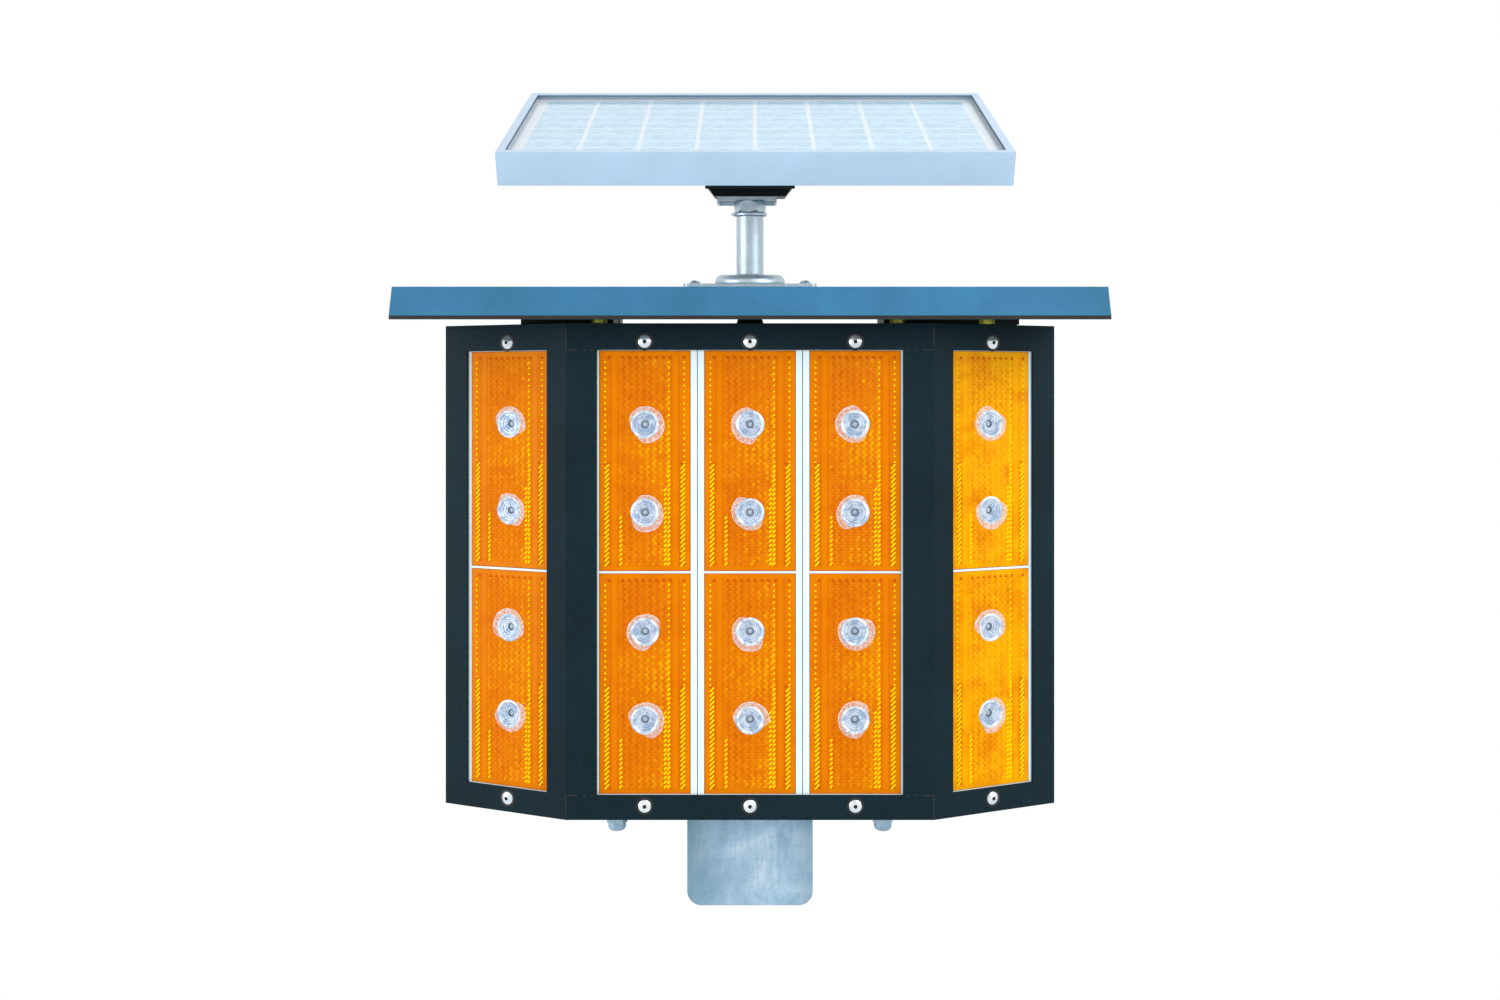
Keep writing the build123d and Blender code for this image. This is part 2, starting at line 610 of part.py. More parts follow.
def roof_cap():
    """Sheet cap with a flared skirt and an inward lip."""
    cap = frustum(0, 0, -ROOF_SKIRT) - frustum(-ROOF_SHEET, -ROOF_SHEET, -ROOF_SKIRT - 1)
    lip_plan = roof_outline(ROOF_FLARE_REACH - 0.5) - roof_outline(ROOF_FLARE_REACH - ROOF_LIP)
    lip = extrude(lip_plan, ROOF_SHEET)
    cap += Pos(0, 0, -ROOF_SKIRT) * lip
    return ROOF * (cap - rod(MAST_BORE, -5, 5))


def roof_edge_trim():
    """Rubber edge strip along the skirt's lower rim."""
    ring = roof_outline(ROOF_FLARE_REACH) - roof_outline(ROOF_FLARE_REACH - TRIM_WIDTH)
    return ROOF * Pos(0, 0, -ROOF_SKIRT - TRIM_DROP) * extrude(ring, TRIM_DROP)


def under_roof(shape):
    """Shape trimmed to the underside of the roof sheet."""
    return shape - ROOF * block(-400, 400, -400, 400, -ROOF_SHEET, 200)


def roof_spacers():
    """Black bars that carry the roof above the lid, wedge-cut to its pitch."""
    top = ROOF_SURFACE + 60
    bars = [
        block(-166, -99, -112, -72, LID_TOP, top),
        block(97, 195, -112, -72, LID_TOP, top),
        block(-160, -110, 55, 85, LID_TOP, top),
        block(110, 160, 55, 85, LID_TOP, top),
    ]
    return Compound(children=[under_roof(bar) for bar in bars])


def roof_standoffs():
    """Hexagonal standoffs beside the bars."""
    spots = [(-108, -121), (106, -121), (170, -121), (-135, 97), (135, 97)]
    posts = [Pos(x, y, 0) * hex_prism(STANDOFF_FLATS, LID_TOP, ROOF_SURFACE + 60) for x, y in spots]
    return Compound(children=[under_roof(post) for post in posts])


# ---- Mast ----
def mast_screw_places():
    """Centres of the screws in the mast's base plate."""
    return [(x, y) for x in (-MAST_SCREW_X, MAST_SCREW_X) for y in (-MAST_SCREW_Y, MAST_SCREW_Y)]


def mast_base_plate():
    """Thin rectangular plate on the roof."""
    half_x, half_y = MAST_PLATE_LENGTH / 2, MAST_PLATE_DEPTH / 2
    plate = block(-half_x, half_x, -half_y, half_y, 0, MAST_PLATE_THICKNESS)
    plate = fillet(plate.edges().filter_by(Axis.Z), 4)
    return ROOF * (plate - rod(MAST_BORE, -1, MAST_PLATE_THICKNESS + 1))


def mast_flange():
    """Domed round flange at the foot of the mast."""
    disc = rod(MAST_FLANGE_DIAMETER, MAST_PLATE_THICKNESS, FLANGE_TOP)
    disc = fillet(disc.edges().group_by(Axis.Z)[-1], MAST_FLANGE_THICKNESS * 0.8)
    disc = fillet(disc.edges().group_by(Axis.Z)[0], 0.8)
    return ROOF * (disc - rod(MAST_DIAMETER + 0.1, 0, FLANGE_TOP + 1))


def mast_screws():
    """Dome-headed screws on the mast's base plate."""
    head = dome_head(7.5, 2.6)
    places = [Pos(x, y, MAST_PLATE_THICKNESS) for x, y in mast_screw_places()]
    return Compound(children=[ROOF * place * head for place in places])


def mast_tube():
    """Mast with a threaded spigot on top and a bore for the panel's lead."""
    tube = rod(MAST_DIAMETER, MAST_PLATE_THICKNESS, MAST_TOP)
    tube += rod(SPIGOT_DIAMETER, MAST_TOP - 1, YOKE_FLOOR + SWIVEL_NUT_HEIGHT + 1.5)
    return ROOF * (tube - rod(MAST_BORE, 0, PIVOT_HEIGHT))


# ---- Swivel and tilt brackets ----
def lock_washer():
    """Thick washer with one ear, under the lock nut."""
    disc = rod(LOCK_WASHER_DIAMETER, MAST_TOP, NUT_BOTTOM)
    disc = fillet(disc.edges().filter_by(GeomType.CIRCLE), 1.0)
    disc += Rot(0, 0, 200) * block(0, LOCK_WASHER_DIAMETER / 2 + 1.5, -3, 3, MAST_TOP + 0.8, NUT_BOTTOM - 0.8)
    return ROOF * (disc - rod(SPIGOT_DIAMETER + 2 * RUNNING_CLEARANCE, MAST_TOP - 1, NUT_BOTTOM + 1))


def lock_nut():
    """Large hexagon nut on the spigot."""
    bore = SPIGOT_DIAMETER + 2 * RUNNING_CLEARANCE
    return ROOF * hex_nut(NUT_FLATS, NUT_BOTTOM, NUT_TOP - 0.1, bore, NUT_TURN)


def swivel_nut():
    """Upper nut that clamps the yoke to the spigot."""
    bore = SPIGOT_DIAMETER + 2 * RUNNING_CLEARANCE
    return ROOF * hex_nut(NUT_FLATS, YOKE_FLOOR + 0.1, YOKE_FLOOR + SWIVEL_NUT_HEIGHT, bore)


def swivel_channel():
    """Plate under the yoke with turned-down rear and side flanges."""
    depth = SWIVEL_HALF_DEPTH
    low = SWIVEL_TOP - SWIVEL_FLANGE
    pan = block(SWIVEL_LEFT, SWIVEL_RIGHT, -depth, depth, low, SWIVEL_TOP)
    pan -= block(SWIVEL_LEFT + 2, SWIVEL_RIGHT - 2, -depth - 1, depth - 2, low - 1, NUT_TOP)
    return ROOF * (pan - rod(SPIGOT_DIAMETER + 2 * RUNNING_CLEARANCE, low - 1, SWIVEL_TOP + 1))


def yoke():
    """Pressed bracket: floor, flared sides, two upright ears and a front lip."""
    right = [(YOKE_BASE_HALF, SWIVEL_TOP), (YOKE_HALF, SWIVEL_TOP + YOKE_FLARE_HEIGHT)]
    ear_top = PIVOT_HEIGHT + EAR_RADIUS
    path = [(-YOKE_HALF, ear_top)] + [(-x, z) for x, z in reversed(right)] + right + [(YOKE_HALF, ear_top)]
    outline = make_face(offset(Polyline(*path), amount=YOKE_SHEET, side=Side.LEFT, kind=Kind.INTERSECTION))
    body = Pos(0, YOKE_HALF_DEPTH, 0) * Rot(90, 0, 0) * extrude(outline, 2 * YOKE_HALF_DEPTH)
    lip_top = SWIVEL_TOP + 15
    lip_half = YOKE_HALF
    lip_points = [*right, (lip_half, lip_top), (-lip_half, lip_top)] + [(-x, z) for x, z in reversed(right)]
    lip = Rot(90, 0, 0) * extrude(make_face(Polyline(*lip_points, close=True)), YOKE_SHEET)
    body += Pos(0, -YOKE_HALF_DEPTH, 0) * lip
    ears = Pos(0, 0, PIVOT_HEIGHT) * rod_x(2 * EAR_RADIUS, -YOKE_HALF - 1, YOKE_HALF + 1)
    ears += block(-YOKE_HALF - 1, YOKE_HALF + 1, -40, 40, 0, PIVOT_HEIGHT - 4)
    body &= ears
    pivot_hole = rod_x(PIVOT_DIAMETER + 2 * RUNNING_CLEARANCE, -YOKE_HALF - 1, YOKE_HALF + 1)
    body -= Pos(0, 0, PIVOT_HEIGHT) * pivot_hole
    return ROOF * (body - rod(SPIGOT_DIAMETER + 2 * RUNNING_CLEARANCE, SWIVEL_TOP - 1, YOKE_FLOOR + 1))


def pivot_bolt():
    """Cross bolt of the tilt, head on the left."""
    shank = rod_x(PIVOT_DIAMETER, -YOKE_HALF - 1, YOKE_HALF + 10)
    head = hex_nut(13.0, YOKE_HALF, YOKE_HALF + 5.5, 1.0) + rod(2, YOKE_HALF - 1, YOKE_HALF + 5)
    return PIVOT * (shank + Rot(0, -90, 0) * head)


def pivot_nut():
    """Nut of the cross bolt."""
    bore = PIVOT_DIAMETER + 2 * RUNNING_CLEARANCE
    return PIVOT * Rot(0, 90, 0) * hex_nut(13.0, YOKE_HALF, YOKE_HALF + 6.5, bore)


# ---- Solar panel, in its own tilted frame about the pivot ----
def panel_mount():
    """Plate under the panel frame with two lugs that turn inside the yoke."""
    half = PANEL_PLATE_WIDTH / 2
    reach = PANEL_LENGTH / 2 - FRAME_WALL
    plate = block(-half, half, -reach, reach, PANEL_STANDOFF - PANEL_PLATE, PANEL_STANDOFF)
    outer = YOKE_HALF - YOKE_SHEET - SIDE_PLAY
    inner = outer - PANEL_PLATE
    for x0, x1 in ((inner, outer), (-outer, -inner)):
        plate += rod_x(2 * LUG_RADIUS, x0, x1)
        plate += block(x0, x1, -LUG_RADIUS, LUG_RADIUS, 0, PANEL_STANDOFF - 1)
    return PANEL * (plate - rod_x(PIVOT_DIAMETER + 2 * RUNNING_CLEARANCE, -outer - 1, outer + 1))


def frame_ring(inset, z0, z1):
    """Rectangular ring of the panel's outline, inset wide."""
    x, y = PANEL_WIDTH / 2, PANEL_LENGTH / 2
    return block(-x, x, -y, y, z0, z1) - block(-x + inset, x - inset, -y + inset, y - inset, z0 - 1, z1 + 1)


def panel_frame():
    """Four mitred frame members."""
    shelf_top = PANEL_TOP - FRAME_LIP_THICKNESS - GLASS_THICKNESS - CELL_SHEET_THICKNESS
    ring = frame_ring(FRAME_WALL, PANEL_STANDOFF, PANEL_TOP)
    ring += frame_ring(FRAME_LIP, PANEL_TOP - FRAME_LIP_THICKNESS, PANEL_TOP)
    ring += frame_ring(FRAME_LIP + 2, shelf_top - 1.2, shelf_top)
    ring += frame_ring(FRAME_FOOT, PANEL_STANDOFF, PANEL_STANDOFF + 1.5)
    x, y = PANEL_WIDTH / 2, PANEL_LENGTH / 2
    play = 0.1
    front = [(-x + play, -y), (x - play, -y), (x - y - play, 0), (-x + y + play, 0)]
    side = [(x, -y + play), (x, y - play), (x - y, 0)]
    members = []
    for corners, turned in ((front, (0, 180)), (side, (0, 180))):
        wedge = extrude(make_face(Polyline(*corners, close=True)), PANEL_TOP + 2)
        members += [ring & (Rot(0, 0, angle) * wedge) for angle in turned]
    return Compound(children=[LAMINATE * member for member in members])


def panel_sheet(z0, z1):
    """Sheet that lies in the frame's groove."""
    x, y = PANEL_WIDTH / 2 - FRAME_WALL - 0.2, PANEL_LENGTH / 2 - FRAME_WALL - 0.2
    return LAMINATE * block(-x, x, -y, y, z0, z1)


def junction_box():
    """Connection box under the cell sheet."""
    top = PANEL_TOP - FRAME_LIP_THICKNESS - GLASS_THICKNESS - CELL_SHEET_THICKNESS
    box = block(-32, 32, 30, 75, top - 14, top)
    return LAMINATE * fillet(box.edges().filter_by(Axis.Z), 4)


# ---- Every node and its shape ----
glass_bottom = PANEL_TOP - FRAME_LIP_THICKNESS - GLASS_THICKNESS
shell_right = right_shell()
nodes = {
    "post_socket": post_socket(),
    "apron_plate": apron_plate(),
    "set_bolts": set_bolts(),
    "base_plate": base_plate(),
    "base_bolts": base_bolts(),
    "base_cap_nuts": base_cap_nuts(),
    "right_shell": shell_right,
    "left_shell": mirror(shell_right, about=Plane.YZ),
    "top_rail": rail(WINDOW_TOP, HOUSING_TOP, HOUSING_TOP - SHEET),
    "bottom_rail": rail(HOUSING_BOTTOM, WINDOW_BOTTOM, FLOOR_TOP),
    "floor_plate": floor_plate(),
    "top_plate": top_plate(),
    "rear_frame": rear_frame(),
    "rear_door": rear_door(),
    "hinge_pins": hinge_pins(),
    "door_gasket": door_gasket(),
    "cam_lock_body": cam_lock_body(),
    "lock_cam": lock_cam(),
    "led_lenses": at_each_lens(lens()),
    "led_emitters": at_each_lens(emitter()),
    "led_boards": led_boards(),
    "bezel_rivets": bezel_rivets(),
    "battery": battery(),
    "controller": controller(),
    "cable_gland": cable_gland(),
    "roof_cap": roof_cap(),
    "roof_edge_trim": roof_edge_trim(),
    "roof_spacers": roof_spacers(),
    "roof_standoffs": roof_standoffs(),
    "mast_base_plate": mast_base_plate(),
    "mast_flange": mast_flange(),
    "mast_screws": mast_screws(),
    "mast_tube": mast_tube(),
    "lock_washer": lock_washer(),
    "lock_nut": lock_nut(),
    "swivel_nut": swivel_nut(),
    "swivel_channel": swivel_channel(),
    "tilt_yoke": yoke(),
    "pivot_bolt": pivot_bolt(),
    "pivot_nut": pivot_nut(),
    "panel_mount": panel_mount(),
    "panel_frame": panel_frame(),
    "panel_glass": panel_sheet(glass_bottom, PANEL_TOP - FRAME_LIP_THICKNESS),
    "panel_cells": panel_sheet(glass_bottom - CELL_SHEET_THICKNESS, glass_bottom),
    "junction_box": junction_box(),
}
for strip_name, strip_place in STRIPS.items():
    lower, upper = reflector_levels()
    nodes[f"carrier_{strip_name}"] = strip_carrier(strip_place, strip_name)
    nodes[f"reflector_{strip_name}_lower"] = reflector(strip_place, lower)
    nodes[f"reflector_{strip_name}_upper"] = reflector(strip_place, upper)

os.makedirs("parts", exist_ok=True)
for node_name, shape in nodes.items():
    export_step(shape, f"parts/{node_name}.step")
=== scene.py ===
"""Visual model of a solar LED barricade marker: finishes for its CAD pieces, and the fine pieces
that CAD leaves out, such as reflector prisms, lenses, sealant, solar cells and weld beads."""

import json
from functools import lru_cache
from math import cos, pi, radians, sin, sqrt, tau
from random import Random

import bmesh
import bpy
from mathutils import Matrix, Vector


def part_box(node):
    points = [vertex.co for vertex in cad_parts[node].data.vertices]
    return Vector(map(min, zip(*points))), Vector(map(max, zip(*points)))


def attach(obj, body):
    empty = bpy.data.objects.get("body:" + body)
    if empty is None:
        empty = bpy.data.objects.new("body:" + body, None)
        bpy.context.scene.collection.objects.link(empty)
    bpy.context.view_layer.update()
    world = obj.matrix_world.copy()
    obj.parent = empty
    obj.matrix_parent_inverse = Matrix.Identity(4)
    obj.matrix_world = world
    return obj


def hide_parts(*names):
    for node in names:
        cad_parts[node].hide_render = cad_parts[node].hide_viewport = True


bl_info = {
    "name": "Solar barricade marker",
    "version": (1, 0, 0),
    "blender": (4, 5, 0),
    "location": "View3D > Sidebar > Marker",
    "description": "Finishes and fine pieces of a solar LED barricade marker",
    "category": "Object",
}

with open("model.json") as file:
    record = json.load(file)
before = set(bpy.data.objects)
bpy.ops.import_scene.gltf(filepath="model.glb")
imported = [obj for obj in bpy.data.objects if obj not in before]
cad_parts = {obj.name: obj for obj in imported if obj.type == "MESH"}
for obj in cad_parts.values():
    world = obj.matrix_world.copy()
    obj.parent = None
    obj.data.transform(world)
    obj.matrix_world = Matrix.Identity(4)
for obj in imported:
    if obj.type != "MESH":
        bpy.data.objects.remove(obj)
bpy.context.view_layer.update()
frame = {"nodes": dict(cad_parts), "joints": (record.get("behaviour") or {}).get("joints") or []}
NODES = frame["nodes"]

MM = 0.001
LATHE_STEPS = 40
STRIPS = ("left_wing", "left", "middle", "right", "right_wing")
HALVES = ("lower", "upper")

# Distance of the inner lens rows from a strip's middle, as a share of the outer rows'.
INNER_ROW_SHARE = 42.5 / 105.5
EMITTER_DIAMETER = 6.0 * MM
RIVET_HEAD = 9.5 * MM
REFLECTOR_DEPTH = 2.5 * MM
CELL_SHEET = 0.8 * MM

# Turns of the folded wings, the roof and the panel at rest, in degrees.
WING_ANGLE = 24.0
ROOF_PITCH = 4.4
PANEL_TILT = 25.0


# ---------------------------------------------------------------- places read from the frame
@lru_cache(maxsize=None)
def node_box(name):
    """Lowest corner, highest corner and middle of a CAD node, in metres."""
    low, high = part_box(name)
    return low, high, (low + high) / 2


def strip_turn(strip):
    """Turn about Z, in radians, of a strip's face away from looking along -Y."""
    turns = {"left_wing": -WING_ANGLE, "right_wing": WING_ANGLE}
    return radians(turns.get(strip, 0.0))


def reflector_place(strip, half):
    """Place of a reflector: origin at the middle of its front face, -Y outwards, Z up."""
    middle = node_box(f"reflector_{strip}_{half}")[2]
    turn = Matrix.Rotation(strip_turn(strip), 4, "Z")
    low, high, _ = node_box("reflector_middle_upper")
    return Matrix.Translation(middle) @ turn @ Matrix.Translation((0, (low.y - high.y) / 2, 0))


def reflector_size():
    """Width and height of a reflector."""
    low, high, _ = node_box("reflector_middle_upper")
    return high.x - low.x, high.z - low.z


def lens_levels():
    """Heights of the four lenses of a strip, from the lowest to the highest emitter row."""
    low, high, middle = node_box("led_emitters")
    outer = (high.z - low.z - EMITTER_DIAMETER) / 2
    inner = outer * INNER_ROW_SHARE
    return [middle.z - outer, middle.z - inner, middle.z + inner, middle.z + outer]


def lens_places():
    """Places of all lenses: origin on the reflector's face, -Y outwards."""
    places = []
    for strip in STRIPS:
        lower, upper = (reflector_place(strip, half) for half in HALVES)
        for level in lens_levels():
            base = upper if level > node_box("led_emitters")[2].z else lower
            places.append(base @ Matrix.Translation((0, 0, level - base.translation.z)))
    return places


def clear_of_lenses(base, x, z, margin):
    """Whether a spot on a reflector is further than a margin from every lens flange."""
    reach = bpy.context.scene.marker_lens.flange_radius + margin
    return all(x * x + (z + base.translation.z - level) ** 2 > reach ** 2 for level in lens_levels())


def rivet_places():
    """Places of the rivets: origin on the sheet's outer face, -Y outwards."""
    low, high, _ = node_box("bezel_rivets")
    radius = RIVET_HEAD / 2
    places = []
    for strip in STRIPS:
        face = reflector_place(strip, "upper")
        outwards = Matrix.Translation((0, -REFLECTOR_DEPTH, 0))
        for level in (low.z + radius, high.z - radius):
            places.append(face @ outwards @ Matrix.Translation((0, 0, level - face.translation.z)))
    return places


def panel_place():
    """Place of the solar panel: origin on the cell sheet's upper face, Z along its normal."""
    middle = node_box("panel_cells")[2]
    tilt = Matrix.Rotation(radians(PANEL_TILT), 4, "X")
    return Matrix.Translation(middle) @ tilt @ Matrix.Translation((0, 0, CELL_SHEET / 2))


def panel_size():
    """Width and length of the cell sheet."""
    low, high, _ = node_box("panel_cells")
    tilt = radians(PANEL_TILT)
    return high.x - low.x, (high.y - low.y - CELL_SHEET * sin(tilt)) / cos(tilt)


def roof_place():
    """Frame of the roof's upper surface on the mast's axis."""
    for joint in frame["joints"]:
        if joint["name"] == "panel_swivel":
            return Matrix.Translation(joint["pos_m"]) @ Matrix.Rotation(radians(ROOF_PITCH), 4, "X")
    raise RuntimeError("the frame has no joint named panel_swivel")


# ---------------------------------------------------------------- colours and nodes
def linear(colour):
    """Linear RGBA from an sRGB hex string such as "#F09402"."""
    channels = [int(colour[i:i + 2], 16) / 255 for i in (1, 3, 5)]
    return [c / 12.92 if c <= 0.04045 else ((c + 0.055) / 1.055) ** 2.4 for c in channels] + [1.0]


def toned(colour, factor):
    """The same sRGB hex colour, darker below a factor of 1 and lighter above it."""
    return "#" + "".join(f"{min(255, round(int(colour[i:i + 2], 16) * factor)):02X}" for i in (1, 3, 5))


def fill(tree, node, inputs):
    """Gives a node's inputs, by name or number, a value or hex colour, or links a socket to them.
    A node given in place of a socket stands for its first live output."""
    for key, value in inputs.items():
        if isinstance(key, int):
            target = node.inputs[key]
        else:
            target = next(socket for socket in node.inputs if socket.name == key and socket.enabled)
        if isinstance(value, bpy.types.Node):
            value = next(socket for socket in value.outputs if socket.enabled)
        if isinstance(value, bpy.types.NodeSocket):
            tree.links.new(value, target)
        elif isinstance(value, str) and target.type == "RGBA":
            target.default_value = linear(value)
        else:
            target.default_value = value


def add_node(tree, kind, inputs=None, stops=(), **settings):
    """Adds a node with its settings, its inputs and, on a colour ramp, its (position, hex) stops."""
    node = tree.nodes.new(kind)
    for key, value in settings.items():
        setattr(node, key, value)
    fill(tree, node, inputs or {})
    if stops:
        elements = node.color_ramp.elements
        while len(elements) < len(stops):
            elements.new(0.5)
        for element, (position, colour) in zip(elements, stops):
            element.position = position
            element.color = linear(colour)
    return node


def new_material(name, colour, roughness, metallic=0.0, specular=0.5):
    """Material with a Principled shader, its tree and its object coordinates in millimetres, so
    that a pattern's scale is 1 over the size of its features."""
    material = bpy.data.materials.new(name)
    material.use_nodes = True
    tree = material.node_tree
    shader = tree.nodes["Principled BSDF"]
    fill(tree, shader, {"Base Color": colour, "Roughness": roughness, "Metallic": metallic,
                        "Specular IOR Level": specular})
    where = add_node(tree, "ShaderNodeTexCoord").outputs["Object"]
    place = add_node(tree, "ShaderNodeVectorMath", {0: where, "Scale": 1 / MM}, operation="SCALE")
    return material, tree, shader, place


def relief(tree, shader, height, depth_mm, edge_mm=0.0):
    """Raised texture of depth_mm on a shader, over edges that catch light as if rounded to edge_mm."""
    bump = add_node(tree, "ShaderNodeBump", {"Height": height, "Distance": depth_mm * MM})
    if edge_mm:
        fill(tree, bump, {"Normal": add_node(tree, "ShaderNodeBevel", {"Radius": edge_mm * MM}, samples=4)})
    fill(tree, shader, {"Normal": bump})


# ---------------------------------------------------------------- materials
def black_powder_coat(colour):
    """Polyester powder coat on folded steel, satin black with a blue cast: fine orange peel,
    a little dust in the texture and edges that catch the light."""
    material, tree, shader, place = new_material("powder_coat_black", colour, 0.55, specular=0.1)
    patches = add_node(tree, "ShaderNodeTexNoise", {"Vector": place, "Scale": 1 / 55, "Detail": 4})
    tone = add_node(tree, "ShaderNodeValToRGB", {"Fac": patches},
                    stops=[(0.3, toned(colour, 0.86)), (0.7, toned(colour, 1.1))])
    # Dust is finer than this; it is drawn at 1.6 mm so that it shows.
    dust = add_node(tree, "ShaderNodeTexNoise", {"Vector": place, "Scale": 1 / 1.6})
    dusty = add_node(tree, "ShaderNodeMapRange",
                     {"Value": dust, "From Min": 0.5, "From Max": 0.75, "To Max": 0.18})
    tone = add_node(tree, "ShaderNodeMix", {"Factor": dusty, "A": tone, "B": toned(colour, 2.0)},
                    data_type="RGBA")
    dull = add_node(tree, "ShaderNodeMapRange",
                    {"Value": patches, "From Min": 0.3, "From Max": 0.7, "To Min": 0.52, "To Max": 0.58})
    fill(tree, shader, {"Base Color": tone, "Roughness": dull})
    peel = add_node(tree, "ShaderNodeTexNoise", {"Vector": place, "Scale": 1 / 0.9})
    relief(tree, shader, peel, 0.05, 0.9)
    return material


def black_bracket_coat():
    """Thicker semi-gloss black coat on the pressed brackets, nearly without texture."""
    material, tree, shader, place = new_material(
        "powder_coat_bracket_black", "#0A1618", 0.45, specular=0.15)
    patches = add_node(tree, "ShaderNodeTexNoise", {"Vector": place, "Scale": 1 / 18, "Detail": 3})
    tone = add_node(tree, "ShaderNodeValToRGB", {"Fac": patches},
                    stops=[(0.35, "#081214"), (0.7, "#0F1E20")])
    fill(tree, shader, {"Base Color": tone})
    peel = add_node(tree, "ShaderNodeTexNoise", {"Vector": place, "Scale": 1 / 1.1})
    relief(tree, shader, peel, 0.04, 0.6)
    return material


def blue_powder_coat(colour):
    """Steel-blue polyester powder coat: even colour, slight orange peel speckled with painted shade, faint
    rain marks.
    """
    material, tree, shader, place = new_material("powder_coat_blue", colour, 0.5, specular=0.25)
    patches = add_node(tree, "ShaderNodeTexNoise",
                       {"Vector": place, "Scale": 1 / 70, "Detail": 4, "Distortion": 0.4})
    tone = add_node(tree, "ShaderNodeValToRGB", {"Fac": patches},
                    stops=[(0.3, toned(colour, 0.93)), (0.7, toned(colour, 1.06))])
    drawn_down = add_node(tree, "ShaderNodeMapping", {"Vector": place, "Scale": (1, 1, 1 / 9)})
    rain = add_node(tree, "ShaderNodeTexNoise", {"Vector": drawn_down, "Scale": 1 / 14, "Detail": 3})
    marks = add_node(tree, "ShaderNodeMapRange",
                     {"Value": rain, "From Min": 0.5, "From Max": 0.8, "To Max": 0.10})
    tone = add_node(tree, "ShaderNodeMix", {"Factor": marks, "A": tone, "B": toned(colour, 1.3)},
                    data_type="RGBA")
    # Orange peel is drawn a little coarse, at 1.4 mm, so that it shows.
    peel = add_node(tree, "ShaderNodeTexNoise", {"Vector": place, "Scale": 1 / 1.4})
    # Painted shade: the peel pattern also darkens the blue in speckles, standing in for the shade of its
    # relief.
    peel_shade = add_node(tree, "ShaderNodeMapRange",
                       {"Value": peel, "From Min": 0.45, "From Max": 0.8, "To Max": 0.35})
    tone = add_node(tree, "ShaderNodeMix", {"Factor": peel_shade, "A": tone, "B": toned(colour, 0.74)},
                    data_type="RGBA")
    dull = add_node(tree, "ShaderNodeMapRange",
                    {"Value": patches, "From Min": 0.3, "From Max": 0.7, "To Min": 0.40, "To Max": 0.54})
    fill(tree, shader, {"Base Color": tone, "Roughness": dull})
    relief(tree, shader, peel, 0.07, 0.8)
    return material


def galvanised_steel(name="galvanised_steel", top=None):
    """Hot-dip galvanised steel: dull blue-grey with soft spangle, vertical drain streaks and painted shade
    towards its left and right edges;
    below a level given as top, blotchy grey darkening runs down from the weld, partly flux stains and
    partly painted shadow under the housing."""
    material, tree, shader, place = new_material(name, "#A4C4DC", 0.5, 0.3)
    clouds = add_node(tree, "ShaderNodeTexNoise",
                      {"Vector": place, "Scale": 1 / 30, "Detail": 6, "Distortion": 0.8})
    tone = add_node(tree, "ShaderNodeValToRGB", {"Fac": clouds},
                    stops=[(0.3, "#93B4CC"), (0.48, "#ABCCE4"), (0.68, "#CBE2F2")])
    crystals = add_node(tree, "ShaderNodeTexVoronoi", {"Vector": place, "Scale": 1 / 7, "Smoothness": 0.6},
                        feature="SMOOTH_F1")
    spangle = add_node(tree, "ShaderNodeSeparateXYZ", {0: crystals.outputs["Color"]})
    drawn_down = add_node(tree, "ShaderNodeMapping", {"Vector": place, "Scale": (1, 1, 1 / 9)})
    streaks = add_node(tree, "ShaderNodeTexNoise",
                       {"Vector": drawn_down, "Scale": 1 / 2, "Detail": 4, "Distortion": 0.3})
    grime = add_node(tree, "ShaderNodeTexNoise",
                     {"Vector": place, "Scale": 1 / 5, "Detail": 6, "Distortion": 1.0})
    for pattern, start, end, most, colour in ((spangle, 0.2, 0.8, 0.14, "#D0E2EE"),
                                              (streaks, 0.42, 0.72, 0.35, "#88A8BC"),
                                              (grime, 0.52, 0.70, 0.30, "#7C98A6")):
        share = add_node(tree, "ShaderNodeMapRange",
                         {"Value": pattern, "From Min": start, "From Max": end, "To Max": most})
        tone = add_node(tree, "ShaderNodeMix", {"Factor": share, "A": tone, "B": colour}, data_type="RGBA")
    # Painted shade: the plate is darkened towards its left and right edges, the left more, where less light
    # falls on it; x in millimetres.
    axes = add_node(tree, "ShaderNodeSeparateXYZ", {0: place})
    left = add_node(tree, "ShaderNodeMapRange",
                    {"Value": axes.outputs["X"], "From Min": -46, "From Max": -14,
                     "To Min": 1.0, "To Max": 0.0})
    right = add_node(tree, "ShaderNodeMapRange",
                     {"Value": axes.outputs["X"], "From Min": 26, "From Max": 46, "To Max": 0.6})
    edges = add_node(tree, "ShaderNodeMath", {0: left, 1: right}, operation="MAXIMUM")
    share = add_node(tree, "ShaderNodeMath", {0: edges, 1: 0.75}, operation="MULTIPLY")
    tone = add_node(tree, "ShaderNodeMix", {"Factor": share, "A": tone, "B": "#648CA2"}, data_type="RGBA")
    # Painted shadow under the housing, mixed with real stains, darkens the plate below its top.
    if top is not None:
        tone = stained_and_shaded(tree, place, axes, tone, top / MM)
    dull = add_node(tree, "ShaderNodeMapRange",
                    {"Value": clouds, "From Min": 0.3, "From Max": 0.7, "To Min": 0.40, "To Max": 0.58})
    fill(tree, shader, {"Base Color": tone, "Roughness": dull})
    runs = add_node(tree, "ShaderNodeMath", {0: streaks, 1: 0.6}, operation="MULTIPLY")
    relief(tree, shader, add_node(tree, "ShaderNodeMath", {0: runs, 1: clouds}, operation="ADD"), 0.12, 0.7)
    return material


